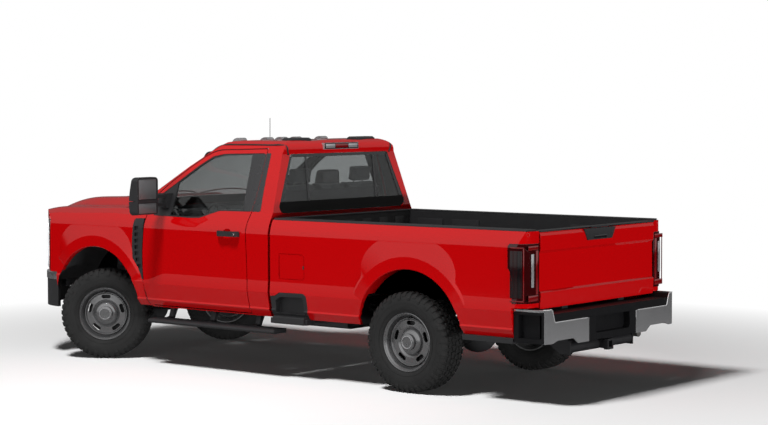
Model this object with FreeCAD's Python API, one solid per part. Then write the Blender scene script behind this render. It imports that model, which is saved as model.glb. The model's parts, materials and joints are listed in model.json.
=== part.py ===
import FreeCAD, Part
import math
import os

# A regular-cab four-wheel-drive pickup truck with a long load bed.
# Millimetres. X forward, Y to the left, Z up. The origin is on the ground
# below the middle of the truck's overall box.

V = FreeCAD.Vector

# Stance and wheels
wheelbase = 3597.0
front_axle_x = 1974.0
rear_axle_x = front_axle_x - wheelbase
tyre_radius = 405.0
tyre_width = 272.0
rim_radius = 240.0
rim_depth = 218.0
hub_z = tyre_radius
rear_track = 1700.0
kingpin_y = 775.0
wheel_offset = 85.0
steer_rest = 34.0
hub_radius = 64.0
spindle_radius = 36.0

# Clearances
touch = 0.3
seam = 8.0
lid_seam = 3.0

# Body section: half widths at heights
sill_z = 515.0
sill_half = 950.0
bead_z = 579.0
bead_half = 994.0
ledge_z = 592.0
ledge_half = 986.0
facet_z = 722.0
facet_half = 1009.0
waist_z = 818.0
waist_half = 1002.0
shoulder_z = 1208.0
shoulder_half = 1003.0
edge_z = 1330.0
edge_half = 964.0
belt_z = 1386.0
belt_half = 935.0
cantrail_z = 1921.0
cantrail_half = 739.0
gutter_z = 1962.0
gutter_half = 690.0
roof_z = 1990.0

# Where the waist line drops towards the fender
ramp_back_x = 1010.0
ramp_front_x = 1290.0
fender_waist_z = 750.0
fender_facet_z = 733.0

# Body stations along the truck
cab_back_x = -180.0
cab_gap = 25.0
bed_front_x = cab_back_x - cab_gap
door_rear_x = 60.0
door_front_x = 1302.0
hood_rear_x = 1690.0
hood_front_x = 2868.0
fender_front_x = 2545.0
tailgate_outer_x = -2817.0
tailgate_inner_x = -2735.0
bumper_rear_x = -2944.0
bumper_front_x = 2944.0

# Wall thicknesses
wall = 112.0
frame_wall = 44.0
roof_wall = 36.0
skin = 5.0
glass_wall = 6.0

# Cab floor and firewall
floor_top = 715.0
floor_wall = 25.0
firewall_x = 1395.0
post_inset = 62.0

# Wheel arches
front_arch_x = front_axle_x - 59.0
front_arch_z = 480.0
front_arch_radius = 537.0
rear_arch_x = rear_axle_x - 39.0
rear_arch_z = 470.0
rear_arch_radius = 521.0
flare_half = 1016.0
flare_lip = 100.0
flare_ramp = 22.0
flare_reach = 476.0
flare_rise = 500.0
flare_height = 300.0
flare_top_z = 1280.0

# Load bed
bed_floor_z = 809.0
bed_floor_wall = 40.0
bed_inner_half = 850.0
bed_wall = 35.0
bed_front_inner_x = tailgate_inner_x + 2492.0
rail_z = 1345.0
rail_cap = 14.0
house_inner_half = 642.0
house_half_length = 500.0
house_z = 1080.0
bed_corner_radius = 125.0

# Tailgate
tailgate_half = 825.0
tailgate_bottom = 733.0
tailgate_top = 1333.0
tailgate_pin_x = -2782.0
tailgate_pin_z = 757.0
tailgate_pin_radius = 12.0

# Ladder frame
rail_outer = 450.0
rail_width = 80.0
rail_height = 170.0
rail_plate = 12.0
frame_front_x = 2700.0
frame_rear_x = -2760.0

# Doors
door_inset = 45.0
door_frame_inset = 16.0
door_skin = 10.0
hinge_back = 30.0
hinge_depth = 20.0
hinge_pin_radius = 4.5
hinge_knuckle_radius = 8.0


def box(x0, x1, y0, y1, z0, z1):
    return Part.makeBox(x1 - x0, y1 - y0, z1 - z0, V(x0, y0, z0))


def rod(start, end, radius):
    """A round bar between two points."""
    line = end - start
    return Part.makeCylinder(radius, line.Length, start, line)


def mirrored(shape):
    """The same shape on the truck's other side."""
    return shape.mirror(V(0, 0, 0), V(0, 1, 0))


def fuse(shapes):
    whole = shapes[0]
    if len(shapes) > 1:
        whole = whole.multiFuse(shapes[1:])
    return whole.removeSplitter()


def cut(shape, tools):
    return shape.cut(tools) if tools else shape


def wire_of(runs, place):
    """A closed wire from runs of points. Two points are a line, more are a curve."""
    edges = []
    for run in runs:
        points = [place(*p) for p in run]
        if len(points) == 2:
            edges.append(Part.makeLine(points[0], points[1]))
        else:
            curve = Part.BSplineCurve()
            curve.interpolate(points)
            edges.append(curve.toShape())
    return Part.Wire(edges)


def lines(points):
    """Straight runs through the points and back to the first."""
    return [[points[i], points[(i + 1) % len(points)]] for i in range(len(points))]


def grown(runs, distance):
    """The closed outline moved outward by a distance, counterclockwise runs."""
    flat = [p for run in runs for p in run[:-1]]
    count = len(flat)
    area = sum(flat[i][0] * flat[(i + 1) % count][1] - flat[(i + 1) % count][0] * flat[i][1]
               for i in range(count))
    side = distance if area > 0 else -distance
    moved = []
    for i in range(count):
        ax, ay = flat[i - 1]
        bx, by = flat[i]
        cx, cy = flat[(i + 1) % count]
        first = math.hypot(bx - ax, by - ay)
        second = math.hypot(cx - bx, cy - by)
        nx1, ny1 = (by - ay) / first, -(bx - ax) / first
        nx2, ny2 = (cy - by) / second, -(cx - bx) / second
        scale = side / (1 + nx1 * nx2 + ny1 * ny2)
        moved.append((bx + (nx1 + nx2) * scale, by + (ny1 + ny2) * scale))
    result = []
    index = 0
    for run in runs:
        last = index + len(run) - 1
        result.append([moved[k % count] for k in range(index, last + 1)])
        index = last
    return result


def prism_x(runs, x0, x1):
    """An outline in (y, z), drawn out along X."""
    face = Part.Face(wire_of(runs, lambda a, b: V(x0, a, b)))
    return face.extrude(V(x1 - x0, 0, 0))


def prism_y(runs, y0, y1):
    """An outline in (x, z), drawn out along Y."""
    face = Part.Face(wire_of(runs, lambda a, b: V(a, y0, b)))
    return face.extrude(V(0, y1 - y0, 0))


def prism_z(runs, z0, z1):
    """An outline in (x, y), drawn out along Z."""
    face = Part.Face(wire_of(runs, lambda a, b: V(a, b, z0)))
    return face.extrude(V(0, 0, z1 - z0))


def turned_y(runs, x, z, angle=360.0):
    """An outline in (radius, y), turned round the Y axis through (x, z)."""
    face = Part.Face(wire_of(runs, lambda a, b: V(x + a, b, z)))
    return face.revolve(V(x, 0, z), V(0, 1, 0), angle)


def largest(shape):
    """The biggest of a shape's solids, without the offcuts."""
    return max(shape.Solids, key=lambda solid: solid.Volume)


def save(name, shape):
    shape.exportStep("parts/%s.step" % name)


# Body section and the master solids that the panels are cut from

masters = {}


def remembered(make):
    """Build a master solid once for each set of sizes and hand it out again."""
    def hand_out(*sizes):
        key = (make.__name__,) + sizes
        if key not in masters:
            masters[key] = make(*sizes)
        return masters[key]
    return hand_out


def side_corners(inset, facet, waist):
    """The body side's creases from the sill up to the shoulder, as (y, z) points."""
    return [(sill_half - inset, sill_z), (bead_half - inset, bead_z), (ledge_half - inset, ledge_z),
            (facet_half - inset, facet), (waist_half - inset, waist),
            (shoulder_half - inset, shoulder_z)]


def side_curve(inset):
    """The rounded part of the body side, from the shoulder to the belt."""
    return [(shoulder_half - inset, shoulder_z), (shoulder_half - 13 - inset, shoulder_z + 62),
            (edge_half - inset, edge_z), (belt_half - inset, belt_z)]


def side_runs(inset, facet, waist, curve):
    corners = side_corners(inset, facet, waist)
    return [[p, q] for p, q in zip(corners, corners[1:])] + [curve]


def flipped(run):
    return [(-y, z) for y, z in reversed(run)]


def both_sides(left, base):
    """A closed section: the left runs, across the top, the right runs and the floor line."""
    right = [flipped(run) for run in reversed(left)]
    runs = left + [[left[-1][-1], right[0][0]]] + right
    start = right[-1][-1]
    end = left[0][0]
    if base < start[1]:
        low = [(start[0], base), (end[0], base)]
        return runs + [[start, low[0]], low, [low[1], end]]
    return runs + [[start, end]]


def waist_ramp(inset):
    """What comes off above the waist line where it drops, on the left side."""
    drop = waist_z - fender_waist_z
    top = waist_z + 12
    middle = (ramp_back_x + ramp_front_x) / 2
    curve = [(ramp_back_x, waist_z + 1), (middle - 60, waist_z - 0.2 * drop),
             (middle + 50, waist_z - 0.75 * drop), (ramp_front_x, fender_waist_z)]
    end = (ramp_front_x + 150, fender_waist_z)
    runs = [curve, [curve[-1], end], [end, (end[0], top)], [(end[0], top), (curve[0][0], top)],
            [(curve[0][0], top), curve[0]]]
    return prism_y(runs, waist_half - inset, waist_half + 60)


@remembered
def lower_body(inset, x0, x1, base=sill_z):
    """The body below the belt between two stations, drawn in by an inset."""
    left = side_runs(inset, facet_z, waist_z, side_curve(inset))
    solid = prism_x(both_sides(left, base), x0, x1)
    if x1 > ramp_back_x and inset < frame_wall:
        ramp = waist_ramp(inset)
        solid = solid.cut([ramp, mirrored(ramp)])
    return solid


def belt_to_rail(inset):
    return [(belt_half - inset, belt_z), (cantrail_half - inset, cantrail_z)]


def roof_run(inset):
    """From one cantrail over the roof to the other."""
    return [(cantrail_half - inset, cantrail_z),
            (gutter_half + 22 - inset, cantrail_z + 27 - inset),
            (gutter_half - inset, gutter_z - inset),
            (gutter_half * 0.6, roof_z - 8 - inset),
            (0, roof_z - inset)]


def upper_section(inset):
    roof = roof_run(inset)
    over = roof + flipped(roof)[1:]
    side = belt_to_rail(inset)
    return [side, over, [(-side[1][0], side[1][1]), (-side[0][0], side[0][1])],
            [(-side[0][0], side[0][1]), side[0]]]


screen_slope = 0.549
screen_foot_x = 1312.0
screen_foot_z = 1536.0
screen_bow = 150.0
screen_bow_half = 800.0
back_lean = 0.104


def screen_plan(shift):
    """The bowed windscreen line in plan at the height of its foot point."""
    x = screen_foot_x - shift
    return [[(x, -screen_bow_half), (x + screen_bow * 0.76, -screen_bow_half / 2),
             (x + screen_bow, 0),
             (x + screen_bow * 0.76, screen_bow_half / 2), (x, screen_bow_half)],
            [(x, screen_bow_half), (x - 330, screen_bow_half * 1.4)],
            [(x - 330, screen_bow_half * 1.4), (x - 2600, screen_bow_half * 1.4)],
            [(x - 2600, screen_bow_half * 1.4), (x - 2600, -screen_bow_half * 1.4)],
            [(x - 2600, -screen_bow_half * 1.4), (x - 330, -screen_bow_half * 1.4)],
            [(x - 330, -screen_bow_half * 1.4), (x, -screen_bow_half)]]


def screen_solid(shift):
    """All that lies behind the windscreen surface, drawn back by a shift along X."""
    rise = 900.0
    low = screen_foot_z - rise / 2
    start = rise / 2 / screen_slope
    runs = [[(x + start, y) for x, y in run] for run in screen_plan(shift)]
    face = Part.Face(wire_of(runs, lambda a, b: V(a, b, low)))
    return face.extrude(V(-rise / screen_slope, 0, rise))


def roof_profile(inset):
    """The cab's roof line and back wall seen from the side."""
    back = cab_back_x + inset
    top_back = back + back_lean * (1873 - belt_z)
    return [[(back, belt_z - 1), (top_back, 1873)],
            [(top_back, 1873), (top_back + 8, 1950 - inset), (top_back + 60, roof_z - 8 - inset),
             (250, roof_z + 2 - inset), (520, roof_z - 16 - inset), (760, 1925 - inset)],
            [(760, 1925 - inset), (1900, belt_z - 1)],
            [(1900, belt_z - 1), (back, belt_z - 1)]]


@remembered
def upper_body(inset):
    """The cab above the belt, drawn in by an inset."""
    solid = prism_x(upper_section(inset), cab_back_x, 1900)
    solid = solid.common(screen_solid(inset / 0.48))
    return solid.common(prism_y(roof_profile(inset), -1000, 1000))


# Door outline, front and back edges and the frame over the glass, as (x, z)

def door_outline():
    return [[(door_front_x - 58, sill_z + 19), (door_front_x - 20, sill_z + 140),
             (door_front_x, sill_z + 270), (door_front_x, sill_z + 580),
             (door_front_x - 22, belt_z - 96), (door_front_x - 30, belt_z + 60)],
            [(door_front_x - 30, belt_z + 60), (1153, 1556), (909, 1735), (761, 1831),
             (656, 1879), (544, 1898)],
            [(544, 1898), (door_rear_x - 12, 1914)],
            [(door_rear_x - 12, 1914), (door_rear_x - 16, 1680), (door_rear_x - 10, 1487),
             (door_rear_x + 15, 1300), (door_rear_x + 12, 1100), (door_rear_x, 800),
             (door_rear_x - 18, sill_z + 19)],
            [(door_rear_x - 18, sill_z + 19), (door_front_x - 58, sill_z + 19)]]


def window_outline():
    """The opening in the door above the belt, glass and black frame together."""
    return lines([(1200, belt_z - 64), (1200, 1488), (1005, 1622), (797, 1767), (657, 1845),
                  (532, 1868), (door_rear_x + 12, 1880), (door_rear_x + 22, belt_z + 2),
                  (430, belt_z - 2), (536, belt_z - 34), (640, belt_z - 68), (760, belt_z - 72)])


def pane_outline():
    """The side glass itself inside the black frame."""
    return lines([(1005, belt_z - 58), (1005, 1606), (797, 1752), (657, 1830), (532, 1855),
                  (door_rear_x + 148, 1866), (door_rear_x + 108, belt_z + 14),
                  (436, belt_z + 10), (544, belt_z - 24), (645, belt_z - 56), (760, belt_z - 60)])


def cab_shell():
    back_half = lower_body(0, cab_back_x, door_front_x - 70)
    front_half = lower_body(post_inset, door_front_x - 70, firewall_x + 30)
    lower_inner = lower_body(wall, cab_back_x + 60, firewall_x)
    lower_inner = lower_inner.common(box(-500, 2000, -1200, 1200, floor_top, belt_z + 1))
    under = box(cab_back_x - 1, 2000, -790, 790, sill_z - 1, floor_top - floor_wall)
    upper = upper_body(0).cut(upper_body(roof_wall + 4))
    upper_inner_low = upper_body(roof_wall + 4).common(box(-500, firewall_x, -900, 900, 0, 3000))
    lower = back_half.fuse(front_half).cut(lower_inner).cut(under)
    lower = lower.cut(upper_inner_low)
    # back wall meets the lower body at the belt
    shell = lower.fuse(upper).removeSplitter()
    # door openings: a full cut above the rocker, a shallow one beside it
    gap = prism_y(grown(door_outline(), seam), 600, 1100)
    deep = box(-200, door_front_x - hinge_back - 38, 600, 1100, 660, 2100)
    deep = deep.fuse(box(-200, 2000, 600, 1100, belt_z + 30, 2100))
    rebate = gap.cut(lower_body(post_inset, -300, 1500)).cut(upper_body(20))
    opening = gap.common(deep).fuse(rebate)
    ledge = box(door_front_x + seam - 1, 1500, hood_half - 2, 1100, edge_z - 12, belt_z)
    tools = [opening, mirrored(opening), ledge, mirrored(ledge)]
    # windscreen and rear window openings
    tools.append(prism_x(screen_opening(), 560, 2000).common(box(500, 2000, -900, 900, 1440, 1906)))
    tools.append(prism_x(rear_opening(), -400, 60))
    shell = cut(shell, tools)
    return fuse([shell] + cab_hinge_parts())


def screen_opening():
    return lines([(822, 1452), (690, 1903), (-690, 1903), (-822, 1452)])


def rear_opening():
    return [[(800, belt_z - 10), (838, belt_z + 14), (848, belt_z + 50)],
            [(848, belt_z + 50), (672, 1836)], [(672, 1836), (660, 1862), (636, 1873)],
            [(636, 1873), (-636, 1873)], [(-636, 1873), (-660, 1862), (-672, 1836)],
            [(-672, 1836), (-848, belt_z + 50)],
            [(-848, belt_z + 50), (-838, belt_z + 14), (-800, belt_z - 10)],
            [(-800, belt_z - 10), (800, belt_z - 10)]]


door_hinge_x = door_front_x - hinge_back
door_hinge_y = waist_half - hinge_depth
door_hinge_heights = (850.0, 1080.0)


def cab_hinge_parts():
    """Half of each door hinge: a block on the post with the pin standing in it."""
    parts = []
    face_y = waist_half - post_inset - 20
    half_width = hinge_knuckle_radius
    for z in door_hinge_heights:
        leaf = box(door_hinge_x - half_width, door_hinge_x + half_width, face_y, door_hinge_y,
                   z - 20, z)
        knuckle = Part.makeCylinder(hinge_knuckle_radius, 20, V(door_hinge_x, door_hinge_y, z - 20))
        pin = Part.makeCylinder(hinge_pin_radius, 42, V(door_hinge_x, door_hinge_y, z - 20))
        half = leaf.fuse([knuckle, pin])
        parts += [half, mirrored(half)]
    return parts


def fixed_glass():
    screen = screen_solid(3).cut(screen_solid(3 + glass_wall / 0.48))
    screen = screen.common(prism_x(grown(screen_opening(), -touch), 560, 2000))
    screen = screen.common(box(600, 2000, -900, 900, 1440, 1906 - touch))
    back = prism_x(grown(rear_opening(), -touch), -400, 100)
    x = cab_back_x + 4
    lean = back_lean
    slab = lines([(x, belt_z - 20), (x + lean * 520, belt_z + 500),
                  (x + lean * 520 + 10, belt_z + 500), (x + 10, belt_z - 20)])
    return Part.makeCompound([screen, back.common(prism_y(slab, -900, 900))])


# Doors

def door():
    """The left door: a skin out to the seam and a thick inner body inset from it."""
    outline = door_outline()
    shape = prism_y(outline, 600, 1100)
    low = lower_body(0, -300, 1500).fuse(upper_body(0).common(box(-300, 1500, 0, 1100, belt_z - 2, 2100)))
    low_in = lower_body(door_skin, -300, 1500, sill_z - 40)
    low_in = low_in.fuse(upper_body(door_skin).common(box(-300, 1500, 0, 1100, belt_z - 2, 2100)))
    skin_plate = shape.common(low).cut(low_in)
    inset = grown(outline, -door_frame_inset)
    body = prism_y(inset, 600, 1100).common(box(-300, door_front_x - hinge_back - 44, 600, 1100, 668, 2100))
    deep = lower_body(wall, -300, 1500).common(box(-300, 1500, 0, 1100, 0, belt_z + 1))
    upper_deep = upper_body(frame_wall).common(box(-300, 1500, 0, 1100, belt_z - 2, 2100))
    body = body.common(low).cut(deep).cut(upper_deep)
    whole = skin_plate.fuse(body).removeSplitter()
    whole = whole.cut(prism_y(window_outline(), 500, 1100))
    cup = Part.makeSphere(cup_sphere, V(cup_x, shoulder_half + cup_sphere - cup_depth, handle_z))
    whole = whole.cut(cup)
    return fuse([whole] + door_hinge_parts())


def door_hinge_parts():
    parts = []
    for z in door_hinge_heights:
        x0 = door_front_x - hinge_back - 60
        leaf = box(x0, door_hinge_x, door_hinge_y - 9, door_hinge_y + 6, z + touch, z + 22)
        knuckle = Part.makeCylinder(hinge_knuckle_radius, 22 - touch,
                                    V(door_hinge_x, door_hinge_y, z + touch))
        bore = Part.makeCylinder(hinge_pin_radius + touch, 40, V(door_hinge_x, door_hinge_y, z - 5))
        parts.append(leaf.fuse(knuckle).cut(bore))
    return parts


def glass_band(outer, inner):
    """A thin layer of the side glass plane between two depths below the skin."""
    low = lower_body(outer, -300, 1500).fuse(upper_body(outer).common(box(-300, 1500, 0, 1100, belt_z - 2, 2100)))
    deep = lower_body(inner, -300, 1500, sill_z - 40)
    deep = deep.fuse(upper_body(inner).common(box(-300, 1500, 0, 1100, belt_z - 2, 2100)))
    return low.common(box(-300, 1500, 300, 1100, belt_z - 120, 2100)).cut(deep)


def door_trim():
    """The black window frame, the sail panel and the handle."""
    ring = glass_band(4, 26).common(prism_y(grown(window_outline(), -touch), 500, 1100))
    ring = ring.cut(prism_y(pane_outline(), 500, 1100))
    return Part.makeCompound([ring, door_handle()])


handle_x0 = 139.0
handle_x1 = 394.0
handle_z = 1198.0
handle_height = 44.0
handle_reach = 38.0
cup_x = 287.0
cup_sphere = 100.0
cup_depth = 14.0


def door_handle():
    """A strap handle on two feet that stand on the door skin."""
    y0 = shoulder_half + 3
    runs = [[(handle_x0, y0), (handle_x0 + 20, y0 + handle_reach),
             ((handle_x0 + handle_x1) / 2, y0 + handle_reach + 4),
             (handle_x1 - 30, y0 + handle_reach), (handle_x1, y0)],
            [(handle_x1, y0), (handle_x1 - 52, y0)],
            [(handle_x1 - 52, y0), (handle_x1 - 66, y0 + handle_reach - 16)],
            [(handle_x1 - 66, y0 + handle_reach - 16), (handle_x0 + 56, y0 + handle_reach - 16)],
            [(handle_x0 + 56, y0 + handle_reach - 16), (handle_x0 + 46, y0)],
            [(handle_x0 + 46, y0), (handle_x0, y0)]]
    bar = prism_z(runs, handle_z - handle_height / 2, handle_z + handle_height / 2)
    deep = []
    for x in (handle_x0 + 4, handle_x1 - 50):
        deep.append(box(x, x + 44, y0 - 20, y0 + 1, handle_z - 18, handle_z + 18))
    feet = fuse(deep).cut(lower_body(-touch, -300, 1500))
    return fuse([bar.cut(lower_body(-touch, -300, 1500)), feet])


def door_glass():
    return glass_band(12, 12 + glass_wall).common(prism_y(grown(pane_outline(), -touch), 500, 1100))


mirror_x0 = 1012.0
mirror_x1 = 1118.0
mirror_inner = 1098.0
mirror_outer = 1345.0
mirror_bottom = 1338.0
mirror_top = 1668.0
mirror_joint = 1460.0
mirror_rim = 14.0


def mirror():
    """A tall towing mirror head on two arms from the sail panel."""
    side = [[(mirror_x0, mirror_bottom + 8), (mirror_x1 - 16, mirror_bottom)],
            [(mirror_x1 - 16, mirror_bottom), (mirror_x1 - 2, mirror_bottom + 60),
             (mirror_x1, mirror_joint), (mirror_x1 - 10, mirror_top - 120),
             (mirror_x1 - 34, mirror_top - 12)],
            [(mirror_x1 - 34, mirror_top - 12), (mirror_x1 - 46, mirror_top), (mirror_x0, mirror_top - 4)],
            [(mirror_x0, mirror_top - 4), (mirror_x0, mirror_bottom + 8)]]
    head = prism_y(side, mirror_inner, mirror_outer)
    front = box(mirror_x0 - 1, mirror_x1 + 1, mirror_inner, mirror_outer, mirror_bottom, mirror_top)
    front = front.makeFillet(36, [e for e in front.Edges if e.BoundBox.XLength > 90])
    head = head.common(front)
    groove = box(mirror_x0 + 20, mirror_x1 + 1, mirror_inner - 1, mirror_outer + 1,
                 mirror_joint - 3, mirror_joint + 3)
    core = box(mirror_x0, mirror_x1 - 44, mirror_inner + 6, mirror_outer - 6, mirror_joint - 20,
               mirror_joint + 20)
    recess = box(mirror_x0 - 1, mirror_x0 + 14, mirror_inner + mirror_rim, mirror_outer - mirror_rim,
                 mirror_joint + mirror_rim, mirror_top - mirror_rim)
    spot = box(mirror_x0 - 1, mirror_x0 + 14, mirror_inner + mirror_rim, mirror_outer - mirror_rim,
               mirror_bottom + mirror_rim, mirror_joint - mirror_rim)
    head = head.cut(groove.cut(core)).cut([recess, spot])
    arms = []
    for z in (1408.0, 1482.0):
        arms.append(box(1060, 1096, 880, mirror_inner + 12, z, z + 26))
    foot = box(1044, 1150, 880, 960, 1392, 1518)
    arm = fuse(arms + [foot])
    outside = lower_body(4 - touch, 900, 1400).fuse(upper_body(4 - touch))
    return fuse([head, arm.cut(outside)])


# Flares round the wheel arches

def closed_curve(points):
    curve = Part.BSplineCurve()
    curve.interpolate(points, PeriodicFlag=True)
    return Part.Wire([curve.toShape()])


def flare(x, z, radius):
    """A flat lip round an arch, with a slope over it that runs back into the side."""
    base = waist_half - 1.5
    lip = radius + flare_lip
    ring = turned_y(lines([(radius, base - 60), (radius, flare_half - 6), (radius + 8, flare_half),
                           (lip, flare_half), (lip + flare_ramp, base - 2),
                           (lip + flare_ramp, base - 60)]), x, z)
    inner = []
    outer = []
    steps = 20
    for k in range(steps):
        angle = 2 * math.pi * k / steps
        inner.append(V(x + lip * math.cos(angle), flare_half, z + lip * math.sin(angle)))
        outer.append(V(x + flare_reach * math.cos(angle), base,
                       z + flare_rise + flare_height * math.sin(angle)))
    slope = Part.makeLoft([closed_curve(inner), closed_curve(outer)], True, True)
    lean = lines([(base, z), (flare_half, z), (flare_half, z + lip), (edge_half + 20, flare_top_z),
                  (edge_half - 40, flare_top_z + 80), (edge_half - 40, z)])
    slope = slope.common(prism_x(lean, x - 700, x + 700))
    backing = prism_y(lines([(x - flare_reach, z), (x + flare_reach, z), (x + 300, flare_top_z + 40),
                             (x - 300, flare_top_z + 40)]), edge_half - 40, base + 0.5)
    backing = backing.common(prism_x(lean, x - 700, x + 700))
    return fuse([ring, slope, backing])


# Front end

def hood_height(x, y):
    """The hood and fender top surface."""
    t = (x - hood_rear_x) / (hood_front_x - hood_rear_x)
    edge = 1368 - 22 * t - 72 * max(0.0, (t - 0.62) / 0.38) ** 2
    dome = 78 - 26 * t - 18 * max(0.0, (t - 0.7) / 0.3) ** 2
    side = min(1.0, max(0.0, (640 - abs(y)) / 150))
    blend = side * side * (3 - 2 * side)
    drop = 40 * max(0.0, (abs(y) - 840) / 120) ** 2
    return edge + dome * blend + 10 * (1 - (y / 960) ** 2) - drop


def top_face():
    xs = [1200, 1450, 1700, 2000, 2300, 2520, 2700, 2800, 2900]
    ys = [-1040, -960, -880, -760, -640, -565, -490, -300, 0,
          300, 490, 565, 640, 760, 880, 960, 1040]
    grid = [[V(x, y, hood_height(x, y)) for y in ys] for x in xs]
    surface = Part.BSplineSurface()
    surface.interpolate(grid)
    return surface.toShape()


nose_runs = [[(1200, 1040), (2380, 1040)],
             [(2380, 1040), (2480, 1015), (2570, 962), (2672, 880), (2790, 700), (2850, 450),
              (2876, 0), (2850, -450), (2790, -700), (2672, -880), (2570, -962), (2480, -1015),
              (2380, -1040)],
             [(2380, -1040), (1200, -1040)],
             [(1200, -1040), (1200, 1040)]]


nose_roll = 22.0


@remembered
def front_mass(inset):
    """The body ahead of the doors as one solid, under the top surface."""
    solid = top_face().extrude(V(0, 0, -900))
    solid.translate(V(0, 0, -inset * 0.6))
    curve = side_curve(inset)[:-1]
    left = side_runs(inset, fender_facet_z, fender_waist_z, curve)
    left.append([curve[-1], (belt_half + 20 - inset, belt_z + 80)])
    solid = solid.common(prism_x(both_sides(left, sill_z), 1200, 2950))
    solid = solid.common(prism_z(grown(nose_runs, -inset), sill_z - 5, 1700))
    return solid


hood_half = 838.0
hood_skin = 26.0
hood_bow = 130.0
nose_z = 1246.0


def hood_plan(gap):
    """The hood from above, past the nose in front."""
    rear = hood_rear_x - gap
    half = hood_half + gap
    front = hood_front_x + 60
    return [[(rear, half), (rear, half - 110)],
            [(rear, half - 110), (rear + hood_bow * 0.6, half / 2), (rear + hood_bow, 0),
             (rear + hood_bow * 0.6, -half / 2), (rear, -half + 110)],
            [(rear, -half + 110), (rear, -half)], [(rear, -half), (front, -half)],
            [(front, -half), (front, half)], [(front, half), (rear, half)]]


hood_hinge_x = hood_rear_x - 14
hood_hinge_z = 1352.0
hood_hinge_y = 770.0
hood_pin_radius = 4.0


def hood():
    plate = front_mass(0).cut(front_mass(hood_skin))
    plate = plate.common(prism_z(hood_plan(0), nose_z, 1700))
    parts = [plate]
    for side in (-1, 1):
        y = side * hood_hinge_y
        z = hood_hinge_z
        ear = prism_y(lines([(hood_hinge_x, z - 9), (hood_rear_x + 60, z - 24), (hood_rear_x + 60, z - 2),
                             (hood_rear_x + 4, z + 9), (hood_hinge_x, z + 9)]), y - 8, y + 8)
        ear = ear.fuse(rod(V(hood_hinge_x, y - 8, z), V(hood_hinge_x, y + 8, z), 9))
        bore = rod(V(hood_hinge_x, y - 20, z), V(hood_hinge_x, y + 20, z), hood_pin_radius + touch)
        parts.append(ear.cut(bore))
    return fuse(parts)


def cowl():
    """The black panel between the hood and the windscreen, with the hood's hinge pins."""
    edge = hood_rear_x - 36
    front = hood_rear_x + hood_bow
    flat = lines([(firewall_x + 31, 1340), (firewall_x + 31, 1400), (1500, 1404), (edge, 1386),
                  (front, 1380), (front, 1340)])
    panel = prism_y(flat, -828, 828)
    panel = panel.cut(prism_z(hood_plan(hood_rear_x - edge), 1300, 1500))
    panel = panel.cut(screen_solid(-touch))
    panel = panel.cut(lower_body(post_inset - touch, 1300, firewall_x + 30 + touch))
    parts = [panel]
    for side in (-1, 1):
        y = side * (hood_hinge_y - 18)
        arm = box(edge - 10, hood_hinge_x, y - 6, y + 6, 1344, 1360)
        tip = rod(V(hood_hinge_x, y - 6, hood_hinge_z), V(hood_hinge_x, y + 6, hood_hinge_z), 8)
        pin = rod(V(hood_hinge_x, y, hood_hinge_z), V(hood_hinge_x, y + side * 26, hood_hinge_z),
                  hood_pin_radius)
        parts.append(arm.fuse([tip, pin]))
    return fuse(parts)


def fender():
    """The left front fender: a shell with its arch and flare."""
    outer = front_mass(0).cut(front_mass(skin))
    region = box(1200, 2900, 600, 1100, sill_z - 10, 1600)
    outer = outer.common(region).cut(prism_z(hood_plan(6), 1000, 1700))
    outer = outer.cut(box(1200, hood_rear_x - 5, 600, hood_half + 6, 400, 1700))
    front_edge = [[(2430, 480), (2430, 764)], [(2430, 764), (2562, 764)],
                  [(2562, 764), (2560, 890), (2530, 1160), (2508, nose_z)],
                  [(2508, nose_z), (2900, nose_z)], [(2900, nose_z), (2900, 1500)],
                  [(2900, 1500), (1200, 1500)], [(1200, 1500), (1200, 480)], [(1200, 480), (2430, 480)]]
    ring = flare(front_arch_x, front_arch_z, front_arch_radius)
    ring = ring.common(box(1316, 2562, 900, 1100, sill_z + 12, flare_top_z)).cut(front_mass(skin))
    outer = fuse([outer, ring])
    outer = outer.common(prism_y(front_edge, 700, 1100))
    arch = Part.makeCylinder(front_arch_radius, 500, V(front_arch_x, 700, front_arch_z), V(0, 1, 0))
    outer = outer.cut(arch)
    outer = outer.cut(box(1000, 2600, 700, 1100, 400, sill_z + 8))
    # the rear edge follows the door's front edge
    door_side = grown(door_outline(), seam)
    keep_off = prism_y(door_side, 700, 1100).fuse(box(900, door_front_x - 50, 700, 1100, 400, 1700))
    corner = prism_y(grown(door_outline(), 2 * seam), 700, 1100)
    keep_off = keep_off.fuse(corner.common(box(900, 1500, 700, 1100, 400, sill_z + 150)))
    outer = outer.cut(keep_off).cut(upper_body(seam)).cut(prism_y(vent_outline(0), 900, 1100))
    return largest(outer)


def vent_outline(gap):
    """The vent panel between the arch and the door, as (x, z)."""
    return grown([[(1424, 1255), (1416, 1280), (1399, 1290)], [(1399, 1290), (1240, 1294)],
                  [(1240, 1294), (1240, 755)], [(1240, 755), (1355, 755)],
                  [(1355, 755), (1441, 934)], [(1441, 934), (1443, 1060), (1424, 1255)]], gap)


def fender_side(inset):
    """The plain side of the body behind the front wheel."""
    left = side_runs(inset, fender_facet_z, fender_waist_z, side_curve(inset)[:-1])
    return prism_x(both_sides(left, sill_z), door_front_x, 1500)


def fender_vent():
    """The left vent panel: a plate with slanted openings over a closed floor."""
    outline = prism_y(vent_outline(-touch), 900, 1100).cut(prism_y(grown(door_outline(), seam), 700, 1100))
    zone = outline.common(fender_side(1.5).cut(fender_side(22)))
    # the door's front edge swings past behind the skin
    door_sweep = prism_y(grown(door_outline(), 2 * seam), 700, 1100)
    zone = zone.cut(door_sweep.common(fender_side(skin)))
    holes = []
    for k in range(7):
        z = 1205.0 - 56 * k
        x = 1424.0 if z > 950 else 1424.0 - (950 - z) * 0.42
        holes.append(prism_y(lines([(x - 64, z - 14), (x - 14, z - 22), (x - 12, z + 14),
                                    (x - 62, z + 20)]), waist_half - 18, 1100))
    return largest(zone.cut(holes))


# Wheels

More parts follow.
